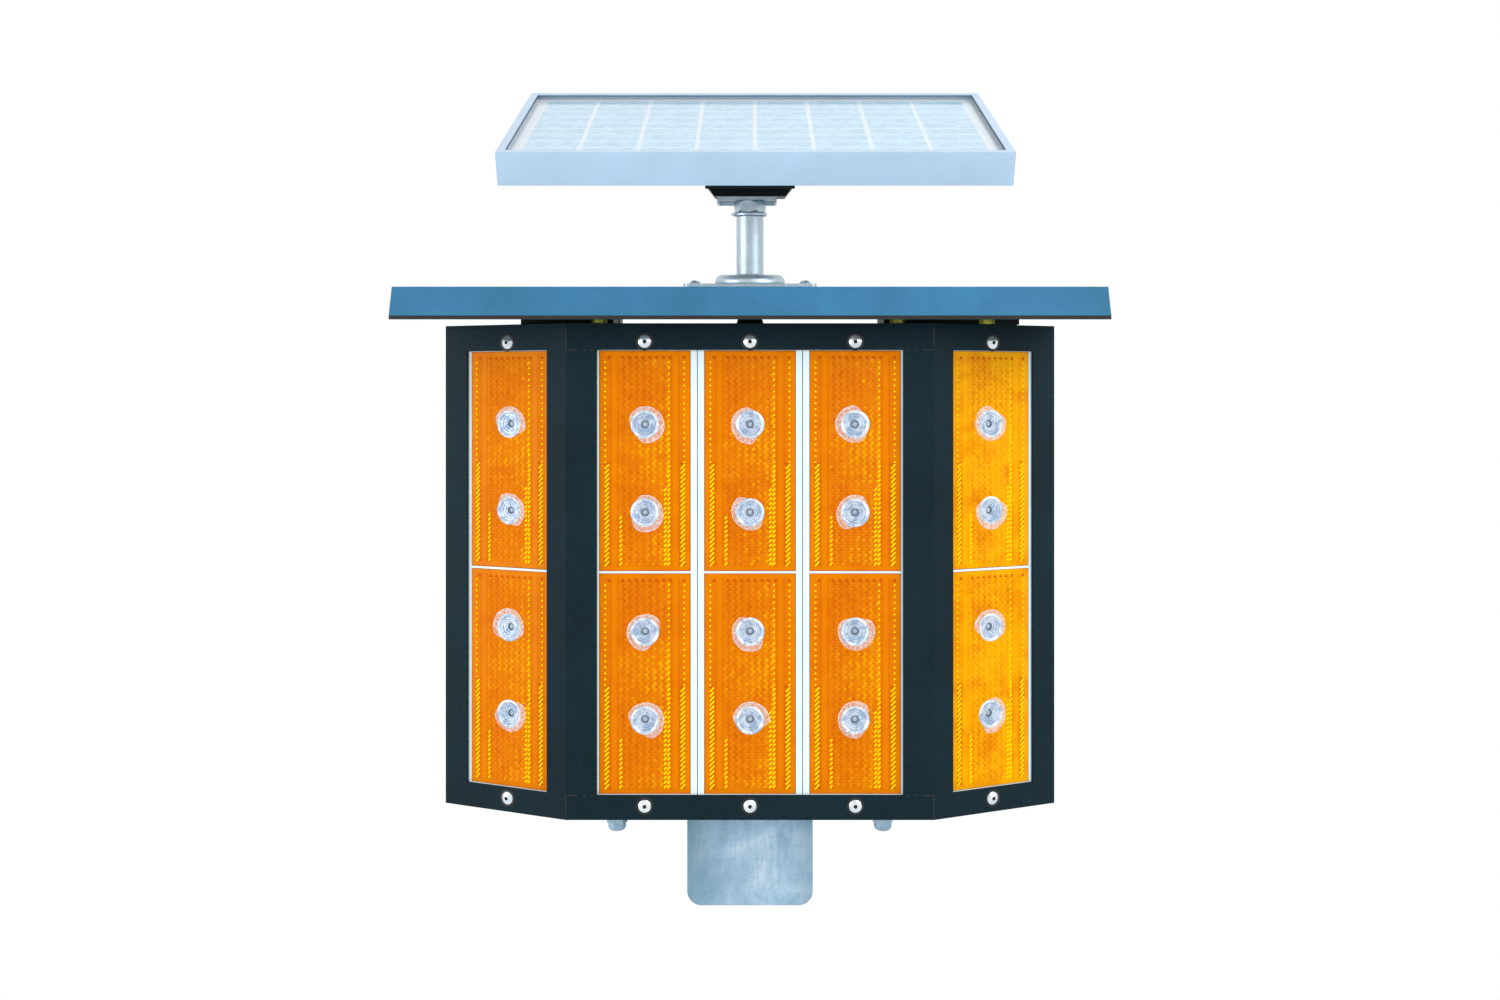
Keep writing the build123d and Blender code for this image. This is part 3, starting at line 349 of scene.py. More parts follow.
def stained_and_shaded(tree, place, axes, tone, top_mm):
    """Colour with blotchy grey darkening over the 30 mm below a level, strongest at the level: partly flux
    stains and partly painted shadow under the housing.
    """
    depth = add_node(tree, "ShaderNodeMapRange",
                     {"Value": axes.outputs["Z"], "From Min": top_mm - 30, "From Max": top_mm})
    blotches = add_node(tree, "ShaderNodeTexNoise",
                        {"Vector": place, "Scale": 1 / 7, "Detail": 6, "Distortion": 1.0})
    spots = add_node(tree, "ShaderNodeMapRange", {"Value": blotches, "From Min": 0.38, "From Max": 0.62})
    stain = add_node(tree, "ShaderNodeMath", {0: depth, 1: spots}, operation="MULTIPLY")
    share = add_node(tree, "ShaderNodeMath", {0: stain, 1: 0.8}, operation="MULTIPLY")
    return add_node(tree, "ShaderNodeMix", {"Factor": share, "A": tone, "B": "#54707F"}, data_type="RGBA")


def bright_zinc(name, colour, shade, roughness=0.3):
    """Electroplated zinc: bright, slightly milky, with fine turning or drawing marks."""
    material, tree, shader, place = new_material(name, colour, roughness, 0.75)
    clouds = add_node(tree, "ShaderNodeTexNoise",
                      {"Vector": place, "Scale": 1 / 8, "Detail": 4, "Distortion": 0.5})
    milky = add_node(tree, "ShaderNodeMapRange", {"Value": clouds, "From Min": 0.3, "From Max": 0.7})
    tone = add_node(tree, "ShaderNodeMix", {"Factor": milky, "A": shade, "B": colour}, data_type="RGBA")
    dull = add_node(tree, "ShaderNodeMapRange",
                    {"Value": clouds, "From Min": 0.3, "From Max": 0.7,
                     "To Min": roughness - 0.06, "To Max": roughness + 0.1})
    fill(tree, shader, {"Base Color": tone, "Roughness": dull})
    drawn_out = add_node(tree, "ShaderNodeMapping", {"Vector": place, "Scale": (1, 1, 1 / 12)})
    marks = add_node(tree, "ShaderNodeTexNoise", {"Vector": drawn_out, "Scale": 1 / 0.5})
    relief(tree, shader, marks, 0.02, 0.35)
    return material


def amber_acrylic(name, with_glint_and_shade, deep="#D96A00", clouded=(0.0, 0.5)):
    """Injection-moulded amber acrylic: deep saturated orange with a smooth glossy skin, painted a lighter
    amber on the wing that faces the key light. Tinted prisms shift towards yellow or red by the value kept
    on each prism, as painted glints and shade."""
    colours = bpy.context.scene.marker_finish
    material, tree, shader, place = new_material(name, colours.reflector, 0.3, specular=0.05)
    axes = add_node(tree, "ShaderNodeSeparateXYZ", {0: place})
    # Painted light: the right wing, which faces the key light, is painted the lighter lit_wing amber.
    side = add_node(tree, "ShaderNodeMapRange",
                    {"Value": axes.outputs["X"], "From Min": -225, "From Max": 225})
    base = add_node(tree, "ShaderNodeValToRGB", {"Fac": side},
                    stops=[(0.0, colours.reflector), (0.76, colours.reflector), (0.84, colours.lit_wing)])
    clouds = add_node(tree, "ShaderNodeTexNoise",
                      {"Vector": place, "Scale": 1 / 17, "Detail": 4, "Distortion": 0.5})
    share = add_node(tree, "ShaderNodeMapRange",
                     {"Value": clouds, "From Min": 0.42, "From Max": 0.68,
                      "To Min": clouded[0], "To Max": clouded[1]})
    tone = add_node(tree, "ShaderNodeMix", {"Factor": share, "A": base, "B": deep}, data_type="RGBA")
    if with_glint_and_shade:
        # Painted highlight and shade: high values turn a prism yellow for light glinting off its facets,
        # low values red for their shade.
        tint = add_node(tree, "ShaderNodeAttribute", attribute_name="tint").outputs["Fac"]
        yellow = add_node(tree, "ShaderNodeMapRange",
                          {"Value": tint, "From Min": 0.55, "From Max": 0.95, "To Max": 0.95})
        tone = add_node(tree, "ShaderNodeMix", {"Factor": yellow, "A": tone, "B": "#FFD000"},
                        data_type="RGBA")
        red = add_node(tree, "ShaderNodeMapRange",
                       {"Value": tint, "From Min": 0.0, "From Max": 0.48, "To Min": 0.9, "To Max": 0.0})
        tone = add_node(tree, "ShaderNodeMix", {"Factor": red, "A": tone, "B": "#C85000"},
                        data_type="RGBA")
    fill(tree, shader, {"Base Color": tone, "IOR": 1.49})
    relief(tree, shader, add_node(tree, "ShaderNodeTexNoise", {"Vector": place, "Scale": 1 / 3}), 0.03)
    return material


def white_abs(colour):
    """Moulded white ABS of the strip carriers, cool white with a soft gloss."""
    material, tree, shader, place = new_material("abs_white", colour, 0.42, specular=0.3)
    clouds = add_node(tree, "ShaderNodeTexNoise", {"Vector": place, "Scale": 1 / 30, "Detail": 3})
    tone = add_node(tree, "ShaderNodeValToRGB", {"Fac": clouds},
                    stops=[(0.3, toned(colour, 0.98)), (0.7, toned(colour, 1.02))])
    fill(tree, shader, {"Base Color": tone})
    grain = add_node(tree, "ShaderNodeTexNoise", {"Vector": place, "Scale": 1 / 0.8})
    relief(tree, shader, grain, 0.02, 0.3)
    return material


def clear_polycarbonate():
    """Clear moulded polycarbonate of the lenses: see-through skin with a sharp shine."""
    material, tree, shader, place = new_material("polycarbonate_clear", "#C9DCEC", 0.05, specular=1.0)
    flow = add_node(tree, "ShaderNodeTexNoise", {"Vector": place, "Scale": 1 / 3})
    dull = add_node(tree, "ShaderNodeMapRange",
                    {"Value": flow, "From Min": 0.3, "From Max": 0.7, "To Min": 0.03, "To Max": 0.10})
    fill(tree, shader, {"IOR": 1.58, "Alpha": 0.10, "Roughness": dull})
    relief(tree, shader, add_node(tree, "ShaderNodeTexNoise", {"Vector": place, "Scale": 1 / 4}), 0.03)
    return material


def metallised_cup():
    """Vacuum-metallised cup behind each lens: bright steps parted by grooves painted grey-blue as painted
    shade, which the value kept on each ring of the mesh tells apart;
    noise blotches mottle both with painted reflection."""
    material, tree, shader, place = new_material("metallised_plastic", "#E0EBF6", 0.3, 0.2)
    ring = add_node(tree, "ShaderNodeAttribute", attribute_name="ring").outputs["Fac"]
    patches = add_node(tree, "ShaderNodeTexNoise",
                       {"Vector": place, "Scale": 1 / 5.5, "Detail": 3, "Distortion": 1.0})
    # Painted shade and reflection: grooves are grey-blue, steps near white, and the patches mottle both.
    groove = add_node(tree, "ShaderNodeValToRGB", {"Fac": patches},
                      stops=[(0.42, "#7090B8"), (0.60, "#B4CAE4")])
    bright = add_node(tree, "ShaderNodeValToRGB", {"Fac": patches},
                      stops=[(0.42, "#B4CCE6"), (0.56, "#F6FBFF")])
    tone = add_node(tree, "ShaderNodeMix", {"Factor": ring, "A": groove, "B": bright}, data_type="RGBA")
    fill(tree, shader, {"Base Color": tone})
    relief(tree, shader, add_node(tree, "ShaderNodeTexNoise", {"Vector": place, "Scale": 1 / 1.0}), 0.05)
    return material


def silicone_sealant():
    """Cured clear silicone: milky and half see-through, with a painted highlight that makes it whiter and
    less see-through along the bead's edges.
    """
    material, tree, shader, place = new_material("silicone_clear", "#FDEDE8", 0.35)
    lumps = add_node(tree, "ShaderNodeTexNoise",
                     {"Vector": place, "Scale": 1 / 2, "Detail": 3, "Distortion": 0.5})
    rim = add_node(tree, "ShaderNodeAttribute", attribute_name="rim").outputs["Fac"]
    haze = add_node(tree, "ShaderNodeMapRange",
                    {"Value": lumps, "From Min": 0.4, "From Max": 0.62, "To Min": 0.26, "To Max": 0.55})
    white = add_node(tree, "ShaderNodeMapRange",
                     {"Value": lumps, "From Min": 0.3, "From Max": 0.7, "To Min": 0.45, "To Max": 0.9})
    # Painted highlight: along the rim the sealant is made whiter and less see-through, standing in for the
    # shine of its rounded edge.
    painted_edge_sheen = add_node(tree, "ShaderNodeMath", {0: rim, 1: white}, operation="MULTIPLY")
    cover = add_node(tree, "ShaderNodeMath", {0: haze, 1: painted_edge_sheen}, operation="MAXIMUM")
    tone = add_node(tree, "ShaderNodeValToRGB", {"Fac": lumps}, stops=[(0.3, "#FBE2D8"), (0.65, "#FFFFFF")])
    fill(tree, shader, {"Base Color": tone, "Alpha": cover, "IOR": 1.41})
    relief(tree, shader, lumps, 0.2)
    return material


def anodised_aluminium(colour):
    """Clear-anodised extruded aluminium: pale cool grey with fine lengthwise die lines."""
    material, tree, shader, place = new_material("aluminium_anodised", colour, 0.45, 0.2)
    clouds = add_node(tree, "ShaderNodeTexNoise", {"Vector": place, "Scale": 1 / 60, "Detail": 3})
    tone = add_node(tree, "ShaderNodeValToRGB", {"Fac": clouds},
                    stops=[(0.3, toned(colour, 0.96)), (0.7, toned(colour, 1.02))])
    drawn_out = add_node(tree, "ShaderNodeMapping", {"Vector": place, "Scale": (1 / 60, 1, 1)})
    lines = add_node(tree, "ShaderNodeTexNoise", {"Vector": drawn_out, "Scale": 1 / 0.9})
    dull = add_node(tree, "ShaderNodeMapRange",
                    {"Value": lines, "From Min": 0.3, "From Max": 0.7, "To Min": 0.36, "To Max": 0.5})
    fill(tree, shader, {"Base Color": tone, "Roughness": dull, "Coat Weight": 0.6, "Coat Roughness": 0.25})
    relief(tree, shader, lines, 0.015, 0.4)
    return material


def tempered_glass():
    """Low-iron tempered cover glass with a fine rolled texture."""
    material, tree, shader, place = new_material("glass_tempered", "#D6ECFA", 0.06)
    fill(tree, shader, {"Alpha": 0.12, "IOR": 1.5})
    rolled = add_node(tree, "ShaderNodeTexNoise", {"Vector": place, "Scale": 1 / 2.2})
    relief(tree, shader, rolled, 0.015)
    return material


def polycrystalline_silicon(colour):
    """Polycrystalline solar cell with its blue anti-reflection coat: angular grains of
    slightly different blue, in a pale blue that is painted reflection of the sky in the cells."""
    material, tree, shader, place = new_material("silicon_polycrystalline", colour, 0.3)
    grains = add_node(tree, "ShaderNodeTexVoronoi", {"Vector": place, "Scale": 1 / 5})
    shade = add_node(tree, "ShaderNodeSeparateXYZ", {0: grains.outputs["Color"]})
    tone = add_node(tree, "ShaderNodeValToRGB", {"Fac": shade},
                    stops=[(0.1, toned(colour, 0.93)), (0.9, toned(colour, 1.05))])
    fill(tree, shader, {"Base Color": tone, "Coat Weight": 1.0, "Coat Roughness": 0.08})
    relief(tree, shader, add_node(tree, "ShaderNodeTexNoise", {"Vector": place, "Scale": 1 / 1.5}), 0.01)
    return material


def tinned_copper():
    """Tinned copper ribbon and white cell borders seen through the glass."""
    material, tree, shader, place = new_material("ribbon_tinned", "#F4FAFD", 0.4, 0.1)
    relief(tree, shader, add_node(tree, "ShaderNodeTexNoise", {"Vector": place, "Scale": 1 / 0.8}), 0.01)
    return material


def backsheet_film():
    """White polymer backsheet under the cells."""
    material, tree, shader, place = new_material("backsheet_white", "#F3F8FB", 0.5)
    clouds = add_node(tree, "ShaderNodeTexNoise", {"Vector": place, "Scale": 1 / 12})
    tone = add_node(tree, "ShaderNodeValToRGB", {"Fac": clouds}, stops=[(0.3, "#F3F9FD"), (0.7, "#FAFDFF")])
    fill(tree, shader, {"Base Color": tone, "Coat Weight": 1.0})
    relief(tree, shader, add_node(tree, "ShaderNodeTexNoise", {"Vector": place, "Scale": 1 / 0.7}), 0.02)
    return material


def moulded_plastic(name, colour, shade, roughness, grain=0.8):
    """Moulded plastic or rubber with a spark-eroded texture and a slight shade variation."""
    material, tree, shader, place = new_material(name, colour, roughness)
    clouds = add_node(tree, "ShaderNodeTexNoise", {"Vector": place, "Scale": 1 / 16, "Detail": 3})
    share = add_node(tree, "ShaderNodeMapRange", {"Value": clouds, "From Min": 0.3, "From Max": 0.7})
    tone = add_node(tree, "ShaderNodeMix", {"Factor": share, "A": shade, "B": colour}, data_type="RGBA")
    patches = add_node(tree, "ShaderNodeTexNoise", {"Vector": place, "Scale": 1 / 6})
    dull = add_node(tree, "ShaderNodeMapRange",
                    {"Value": patches, "From Min": 0.3, "From Max": 0.7,
                     "To Min": roughness - 0.05, "To Max": roughness + 0.08})
    fill(tree, shader, {"Base Color": tone, "Roughness": dull})
    texture = add_node(tree, "ShaderNodeTexNoise", {"Vector": place, "Scale": 1 / grain})
    relief(tree, shader, texture, 0.05, 0.4)
    return material


def weld_metal():
    """Galvanised weld bead: rippled and brighter than the plates beside it."""
    material, tree, shader, place = new_material("weld_galvanised", "#A9BCC8", 0.4, 0.6)
    crust = add_node(tree, "ShaderNodeTexNoise",
                     {"Vector": place, "Scale": 1 / 3, "Detail": 4, "Distortion": 0.6})
    tone = add_node(tree, "ShaderNodeValToRGB", {"Fac": crust}, stops=[(0.3, "#6F8798"), (0.7, "#DCE8EE")])
    fill(tree, shader, {"Base Color": tone})
    spatter = add_node(tree, "ShaderNodeTexNoise", {"Vector": place, "Scale": 1 / 1.2, "Detail": 3})
    relief(tree, shader, spatter, 0.3)
    return material


def studio_floor():
    """Pale matt studio floor that keeps the soft shadow and runs out into plain white."""
    material, tree, shader, place = new_material("floor_pale", "#F2F3F4", 0.8)
    clouds = add_node(tree, "ShaderNodeTexNoise", {"Vector": place, "Scale": 1 / 300})
    tone = add_node(tree, "ShaderNodeValToRGB", {"Fac": clouds}, stops=[(0.3, "#F0F1F2"), (0.7, "#F5F6F7")])
    fill(tree, shader, {"Base Color": tone})
    flat = add_node(tree, "ShaderNodeVectorMath", {0: place, 1: (1, 1, 0)}, operation="MULTIPLY")
    reach = add_node(tree, "ShaderNodeVectorMath", {0: flat}, operation="LENGTH")
    away = add_node(tree, "ShaderNodeMapRange", {"Value": reach, "From Min": 350, "From Max": 1050})
    seen = add_node(tree, "ShaderNodeLightPath").outputs["Is Camera Ray"]
    share = add_node(tree, "ShaderNodeMath", {0: away, 1: seen}, operation="MULTIPLY")
    white = add_node(tree, "ShaderNodeEmission")
    blend = add_node(tree, "ShaderNodeMixShader", {0: share, 1: shader, 2: white})
    fill(tree, tree.nodes["Material Output"], {"Surface": blend})
    return material


# ---------------------------------------------------------------- mesh helpers
def mesh_object(name, vertices, faces, smooth=False):
    """Object at the origin from points and faces, normals pointing outwards."""
    mesh = bpy.data.meshes.new(name)
    mesh.from_pydata([tuple(v) for v in vertices], [], faces)
    work = bmesh.new()
    work.from_mesh(mesh)
    bmesh.ops.recalc_face_normals(work, faces=work.faces)
    work.to_mesh(mesh)
    work.free()
    for polygon in mesh.polygons:
        polygon.use_smooth = smooth
    made = bpy.data.objects.new(name, mesh)
    bpy.context.scene.collection.objects.link(made)
    return made


def lathe(name, profile, steps=LATHE_STEPS, smooth=True):
    """Solid turned about Y from a closed (radius, depth) profile whose ends may lie on the axis."""
    vertices, rings = [], []
    for radius, depth in profile:
        if radius < 1e-9:
            rings.append([len(vertices)])
            vertices.append((0, depth, 0))
            continue
        rings.append(list(range(len(vertices), len(vertices) + steps)))
        for i in range(steps):
            angle = tau * i / steps
            vertices.append((radius * cos(angle), depth, radius * sin(angle)))
    faces = []
    for first, second in zip(rings, rings[1:] + rings[:1]):
        for i in range(steps):
            j = (i + 1) % steps
            around = ((first, i), (first, j), (second, j), (second, i))
            loop = list(dict.fromkeys(ring[k % len(ring)] for ring, k in around))
            if len(loop) > 2:
                faces.append(loop)
    return mesh_object(name, vertices, faces, smooth)


def circle(radius, level, steps):
    """Points round the Z axis at a level."""
    return [Vector((radius * cos(tau * i / steps), radius * sin(tau * i / steps), level))
            for i in range(steps)]


def kept_value(piece, name, values):
    """Keeps one value per point of a piece's mesh for its material to read."""
    attribute = piece.data.attributes.new(name, "FLOAT", "POINT")
    attribute.data.foreach_set("value", values)
    return piece


def points_object(name, places, glint_and_shade_values=None):
    """Loose points that carry a turn, and a painted glint and shade value where one is given, for a placing
    tree.
    """
    mesh = bpy.data.meshes.new(name)
    mesh.from_pydata([tuple(place.translation) for place in places], [], [])
    turn = mesh.attributes.new("turn", "FLOAT_VECTOR", "POINT")
    turn.data.foreach_set("vector", [v for place in places for v in place.to_euler("XYZ")])
    if glint_and_shade_values:
        tint = mesh.attributes.new("tint", "FLOAT", "POINT")
        tint.data.foreach_set("value", glint_and_shade_values)
    made = bpy.data.objects.new(name, mesh)
    bpy.context.scene.collection.objects.link(made)
    return made


def placing_tree():
    """Geometry Nodes tree that sets a copy of an object on every point, turned as the point says."""
    existing = bpy.data.node_groups.get("place_copies")
    if existing:
        return existing
    tree = bpy.data.node_groups.new("place_copies", "GeometryNodeTree")
    face = tree.interface
    face.new_socket("Points", in_out="INPUT", socket_type="NodeSocketGeometry")
    face.new_socket("Piece", in_out="INPUT", socket_type="NodeSocketObject")
    size = face.new_socket("Size", in_out="INPUT", socket_type="NodeSocketFloat")
    size.default_value = 1.0
    jitter = face.new_socket("Spin variation", in_out="INPUT", socket_type="NodeSocketFloat")
    jitter.subtype = "ANGLE"
    seed = face.new_socket("Seed", in_out="INPUT", socket_type="NodeSocketInt")
    seed.default_value = 3
    face.new_socket("Finish", in_out="INPUT", socket_type="NodeSocketMaterial")
    face.new_socket("Geometry", in_out="OUTPUT", socket_type="NodeSocketGeometry")
    given = add_node(tree, "NodeGroupInput").outputs
    item = add_node(tree, "GeometryNodeObjectInfo", {"Object": given["Piece"]}, transform_space="ORIGINAL")
    turn = add_node(tree, "GeometryNodeInputNamedAttribute", {"Name": "turn"}, data_type="FLOAT_VECTOR")
    rotation = add_node(tree, "FunctionNodeEulerToRotation", {0: turn})
    least = add_node(tree, "ShaderNodeMath", {0: given["Spin variation"], 1: -1.0}, operation="MULTIPLY")
    spin = add_node(tree, "FunctionNodeRandomValue",
                    {"Min": least, "Max": given["Spin variation"], "Seed": given["Seed"]},
                    data_type="FLOAT")
    about = add_node(tree, "ShaderNodeCombineXYZ", {"Y": spin})
    local = add_node(tree, "FunctionNodeEulerToRotation", {0: about})
    placed = add_node(tree, "GeometryNodeInstanceOnPoints",
                      {"Points": given["Points"], "Instance": item.outputs["Geometry"],
                       "Rotation": rotation, "Scale": given["Size"]})
    turned = add_node(tree, "GeometryNodeRotateInstances",
                      {"Instances": placed, "Rotation": local, "Local Space": True})
    real = add_node(tree, "GeometryNodeRealizeInstances", {"Geometry": turned})
    painted = add_node(tree, "GeometryNodeSetMaterial", {"Geometry": real, "Material": given["Finish"]})
    add_node(tree, "NodeGroupOutput", {"Geometry": painted})
    return tree


def placed_copies(name, item, places, finish, spin=0.0, seed=3, glint_and_shade_values=None):
    """One plain mesh with a copy of item at each place; item itself is used up."""
    points = points_object(name + "_points", places, glint_and_shade_values)
    modifier = points.modifiers.new("place", "NODES")
    modifier.node_group = placing_tree()
    given = {"Piece": item, "Size": 1.0, "Spin variation": spin, "Seed": seed, "Finish": finish}
    for socket in modifier.node_group.interface.items_tree:
        if socket.in_out == "INPUT" and socket.name in given:
            modifier[socket.identifier] = given[socket.name]
    bpy.context.view_layer.update()
    ready = points.evaluated_get(bpy.context.evaluated_depsgraph_get())
    mesh = bpy.data.meshes.new_from_object(ready)
    if not mesh.polygons:
        raise RuntimeError(f"{name} came out empty")
    mesh.name = name
    if not mesh.materials:
        mesh.materials.append(finish)
    bpy.data.objects.remove(points)
    bpy.data.objects.remove(item)
    made = bpy.data.objects.new(name, mesh)
    bpy.context.scene.collection.objects.link(made)
    return made


def box_parts(boxes, place):
    """Vertices and faces of several boxes, each ((x0, y0, z0), (x1, y1, z1)), set in place."""
    vertices, faces = [], []
    for low, high in boxes:
        start = len(vertices)
        for x in (low[0], high[0]):
            for y in (low[1], high[1]):
                for z in (low[2], high[2]):
                    vertices.append(place @ Vector((x, y, z)))
        for corners in ((0, 1, 3, 2), (4, 6, 7, 5), (0, 4, 5, 1), (2, 3, 7, 6), (0, 2, 6, 4),
                        (1, 5, 7, 3)):
            faces.append([start + c for c in corners])
    return vertices, faces


def rounded(piece, width_mm, segments=2):
    """Bevel applied to a piece's mesh."""
    bevel = piece.modifiers.new("round", "BEVEL")
    bevel.width = width_mm * MM
    bevel.segments = segments
    bevel.limit_method = "ANGLE"
    ready = piece.evaluated_get(bpy.context.evaluated_depsgraph_get())
    mesh = bpy.data.meshes.new_from_object(ready)
    piece.modifiers.clear()
    piece.data = mesh
    return piece


def finished(piece, body, material=None, stands_for=()):
    """Gives a piece its material and slot, and sets it riding on its body."""
    if material is not None:
        piece.data.materials.clear()
        piece.data.materials.append(material)
    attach(piece, body)
    if stands_for:
        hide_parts(*stands_for)
    return piece


def paint(material, *names):
    """Puts a material in every slot of some CAD nodes."""
    for name in names:
        mesh = NODES[name].data
        for index in range(len(mesh.materials)):
            mesh.materials[index] = material
        if not mesh.materials:
            mesh.materials.append(material)


# ---------------------------------------------------------------- settings
class FinishSettings(bpy.types.PropertyGroup):
    """Colours of the coats and plastics, as sRGB hex."""
    housing: bpy.props.StringProperty(name="Housing", description="Housing coat", default="#0E232B")
    roof: bpy.props.StringProperty(name="Roof", description="Roof coat", default="#3778A0")
    reflector: bpy.props.StringProperty(
        name="Reflector", description="Amber acrylic", default="#E68100")
    lit_wing: bpy.props.StringProperty(
        name="Lit wing", description="Amber of the wing that faces the light", default="#F7AC00")
    carriers: bpy.props.StringProperty(name="Carriers", description="Strip carriers", default="#E4F6FF")
    frame: bpy.props.StringProperty(name="Panel frame", description="Anodised frame", default="#BAD8F0")
    # The pale cell blue is painted reflection of the sky seen in the cells.
    cells: bpy.props.StringProperty(name="Cells", description="Solar cells", default="#B4DFF8")


class PrismSettings(bpy.types.PropertyGroup):
    """Sizes of the reflector's prisms."""
    pitch: bpy.props.FloatProperty(
        name="Prism pitch", description="Distance between prism columns", default=2.43 * MM,
        min=1 * MM, unit="LENGTH")
    height: bpy.props.FloatProperty(
        name="Prism height", description="How far a prism stands off the face", default=0.42 * MM,
        unit="LENGTH")
    border: bpy.props.FloatProperty(
        name="Plain border", description="Width of the bare rim", default=3.0 * MM, unit="LENGTH")
    band_start: bpy.props.FloatProperty(
        name="Band start", description="Distance from the side to the plain band", default=8.1 * MM,
        unit="LENGTH")
    band_end: bpy.props.FloatProperty(
        name="Band end", description="Distance from the side to the band's inner edge",
        default=13.3 * MM, unit="LENGTH")


class LensSettings(bpy.types.PropertyGroup):
    """Sizes of the lenses, their cups and sealant."""
    flange_radius: bpy.props.FloatProperty(
        name="Flange radius", description="Radius of the clear flange", default=10.5 * MM, unit="LENGTH")
    dome_radius: bpy.props.FloatProperty(
        name="Dome radius", description="Radius at the foot of the dome", default=9.0 * MM, unit="LENGTH")
    dome_height: bpy.props.FloatProperty(
        name="Dome height", description="Rise of the dome above the flange", default=5.4 * MM,
        unit="LENGTH")
    sealant_radius: bpy.props.FloatProperty(
        name="Sealant radius", description="Mean outer radius of the sealant", default=13.3 * MM,
        unit="LENGTH")


class PanelSettings(bpy.types.PropertyGroup):
    """Sizes of the solar panel's cells."""
    columns: bpy.props.IntProperty(name="Columns", description="Cells across", default=8, min=1)
    rows: bpy.props.IntProperty(name="Rows", description="Cells along the slope", default=9, min=1)
    border: bpy.props.FloatProperty(
        name="Border", description="White margin around the cells", default=14 * MM, unit="LENGTH")
    column_gap: bpy.props.FloatProperty(
        name="Column gap", description="White gap between columns", default=3.4 * MM, unit="LENGTH")
    row_gap: bpy.props.FloatProperty(
        name="Row gap", description="White gap between rows", default=3.0 * MM, unit="LENGTH")


class StageSettings(bpy.types.PropertyGroup):
    """Camera and light."""
    focal_length: bpy.props.FloatProperty(
        name="Focal length", description="Camera lens on a 36 mm sensor", default=33.6, unit="CAMERA")
    distance: bpy.props.FloatProperty(
        name="Camera distance", description="From the housing's front", default=0.996, unit="LENGTH")
    eye_level: bpy.props.FloatProperty(
        name="Eye level", description="Camera height", default=0.3924, unit="LENGTH")
    key_power: bpy.props.FloatProperty(
        name="Key light", description="Power of the large key light", default=31.0, unit="POWER")
    world_strength: bpy.props.FloatProperty(
        name="World", description="Strength of the surrounding white", default=0.62)


# ---------------------------------------------------------------- operators
class MARKER_OT_sheet_metal(bpy.types.Operator):
    """Coats the housing, roof, brackets and base."""
    bl_idname = "marker.sheet_metal"
    bl_label = "Sheet metal finishes"

    def execute(self, context):
        finish = context.scene.marker_finish
        paint(black_powder_coat(finish.housing), "right_shell", "left_shell", "top_rail", "bottom_rail",
              "top_plate", "floor_plate", "rear_frame", "rear_door")
        paint(blue_powder_coat(finish.roof), "roof_cap")
        paint(black_bracket_coat(), "roof_spacers", "tilt_yoke", "panel_mount")
        apron_top = node_box("apron_plate")[1].z
        paint(galvanised_steel("galvanised_stained", apron_top), "apron_plate")
        paint(galvanised_steel(), "post_socket", "base_plate")
        return {"FINISHED"}


class MARKER_OT_hardware(bpy.types.Operator):
    """Finishes the mast, fasteners, lock, seals and inner equipment."""
    bl_idname = "marker.hardware"
    bl_label = "Hardware finishes"

    def execute(self, context):
        paint(bright_zinc("zinc_bright", "#CEDDE4", "#B4C6D0", 0.36), "mast_tube", "mast_flange",
              "mast_base_plate", "swivel_channel", "lock_washer", "lock_nut", "swivel_nut", "mast_screws")
        paint(bright_zinc("zinc_dull", "#A9C4D8", "#8AA8BC", 0.42), "base_cap_nuts",
              "base_bolts", "set_bolts", "pivot_bolt", "pivot_nut", "hinge_pins")
        paint(bright_zinc("zinc_yellow", "#C9C25A", "#8F9A3A", 0.35), "roof_standoffs")
        paint(bright_zinc("aluminium_rivet", "#EEF4F8", "#C9D6E0", 0.16), "bezel_rivets")
        paint(bright_zinc("zinc_die_cast", "#C4C8CC", "#9EA4AA", 0.28), "cam_lock_body", "lock_cam")
        paint(moulded_plastic("epdm_rubber", "#15181A", "#0C0E10", 0.7, 1.0), "roof_edge_trim",
              "door_gasket")
        paint(moulded_plastic("nylon_black", "#1A1C1F", "#101214", 0.5), "cable_gland", "junction_box")
        paint(moulded_plastic("abs_battery", "#2A2D31", "#1F2226", 0.45), "battery")
        paint(moulded_plastic("abs_controller", "#39434B", "#2E373E", 0.42), "controller")
        paint(moulded_plastic("solder_mask_white", "#DDE3E0", "#CBD3CF", 0.4), "led_boards")
        paint(moulded_plastic("epoxy_emitter", "#C4D4E4", "#9CB4CC", 0.15), "led_emitters")
        return {"FINISHED"}


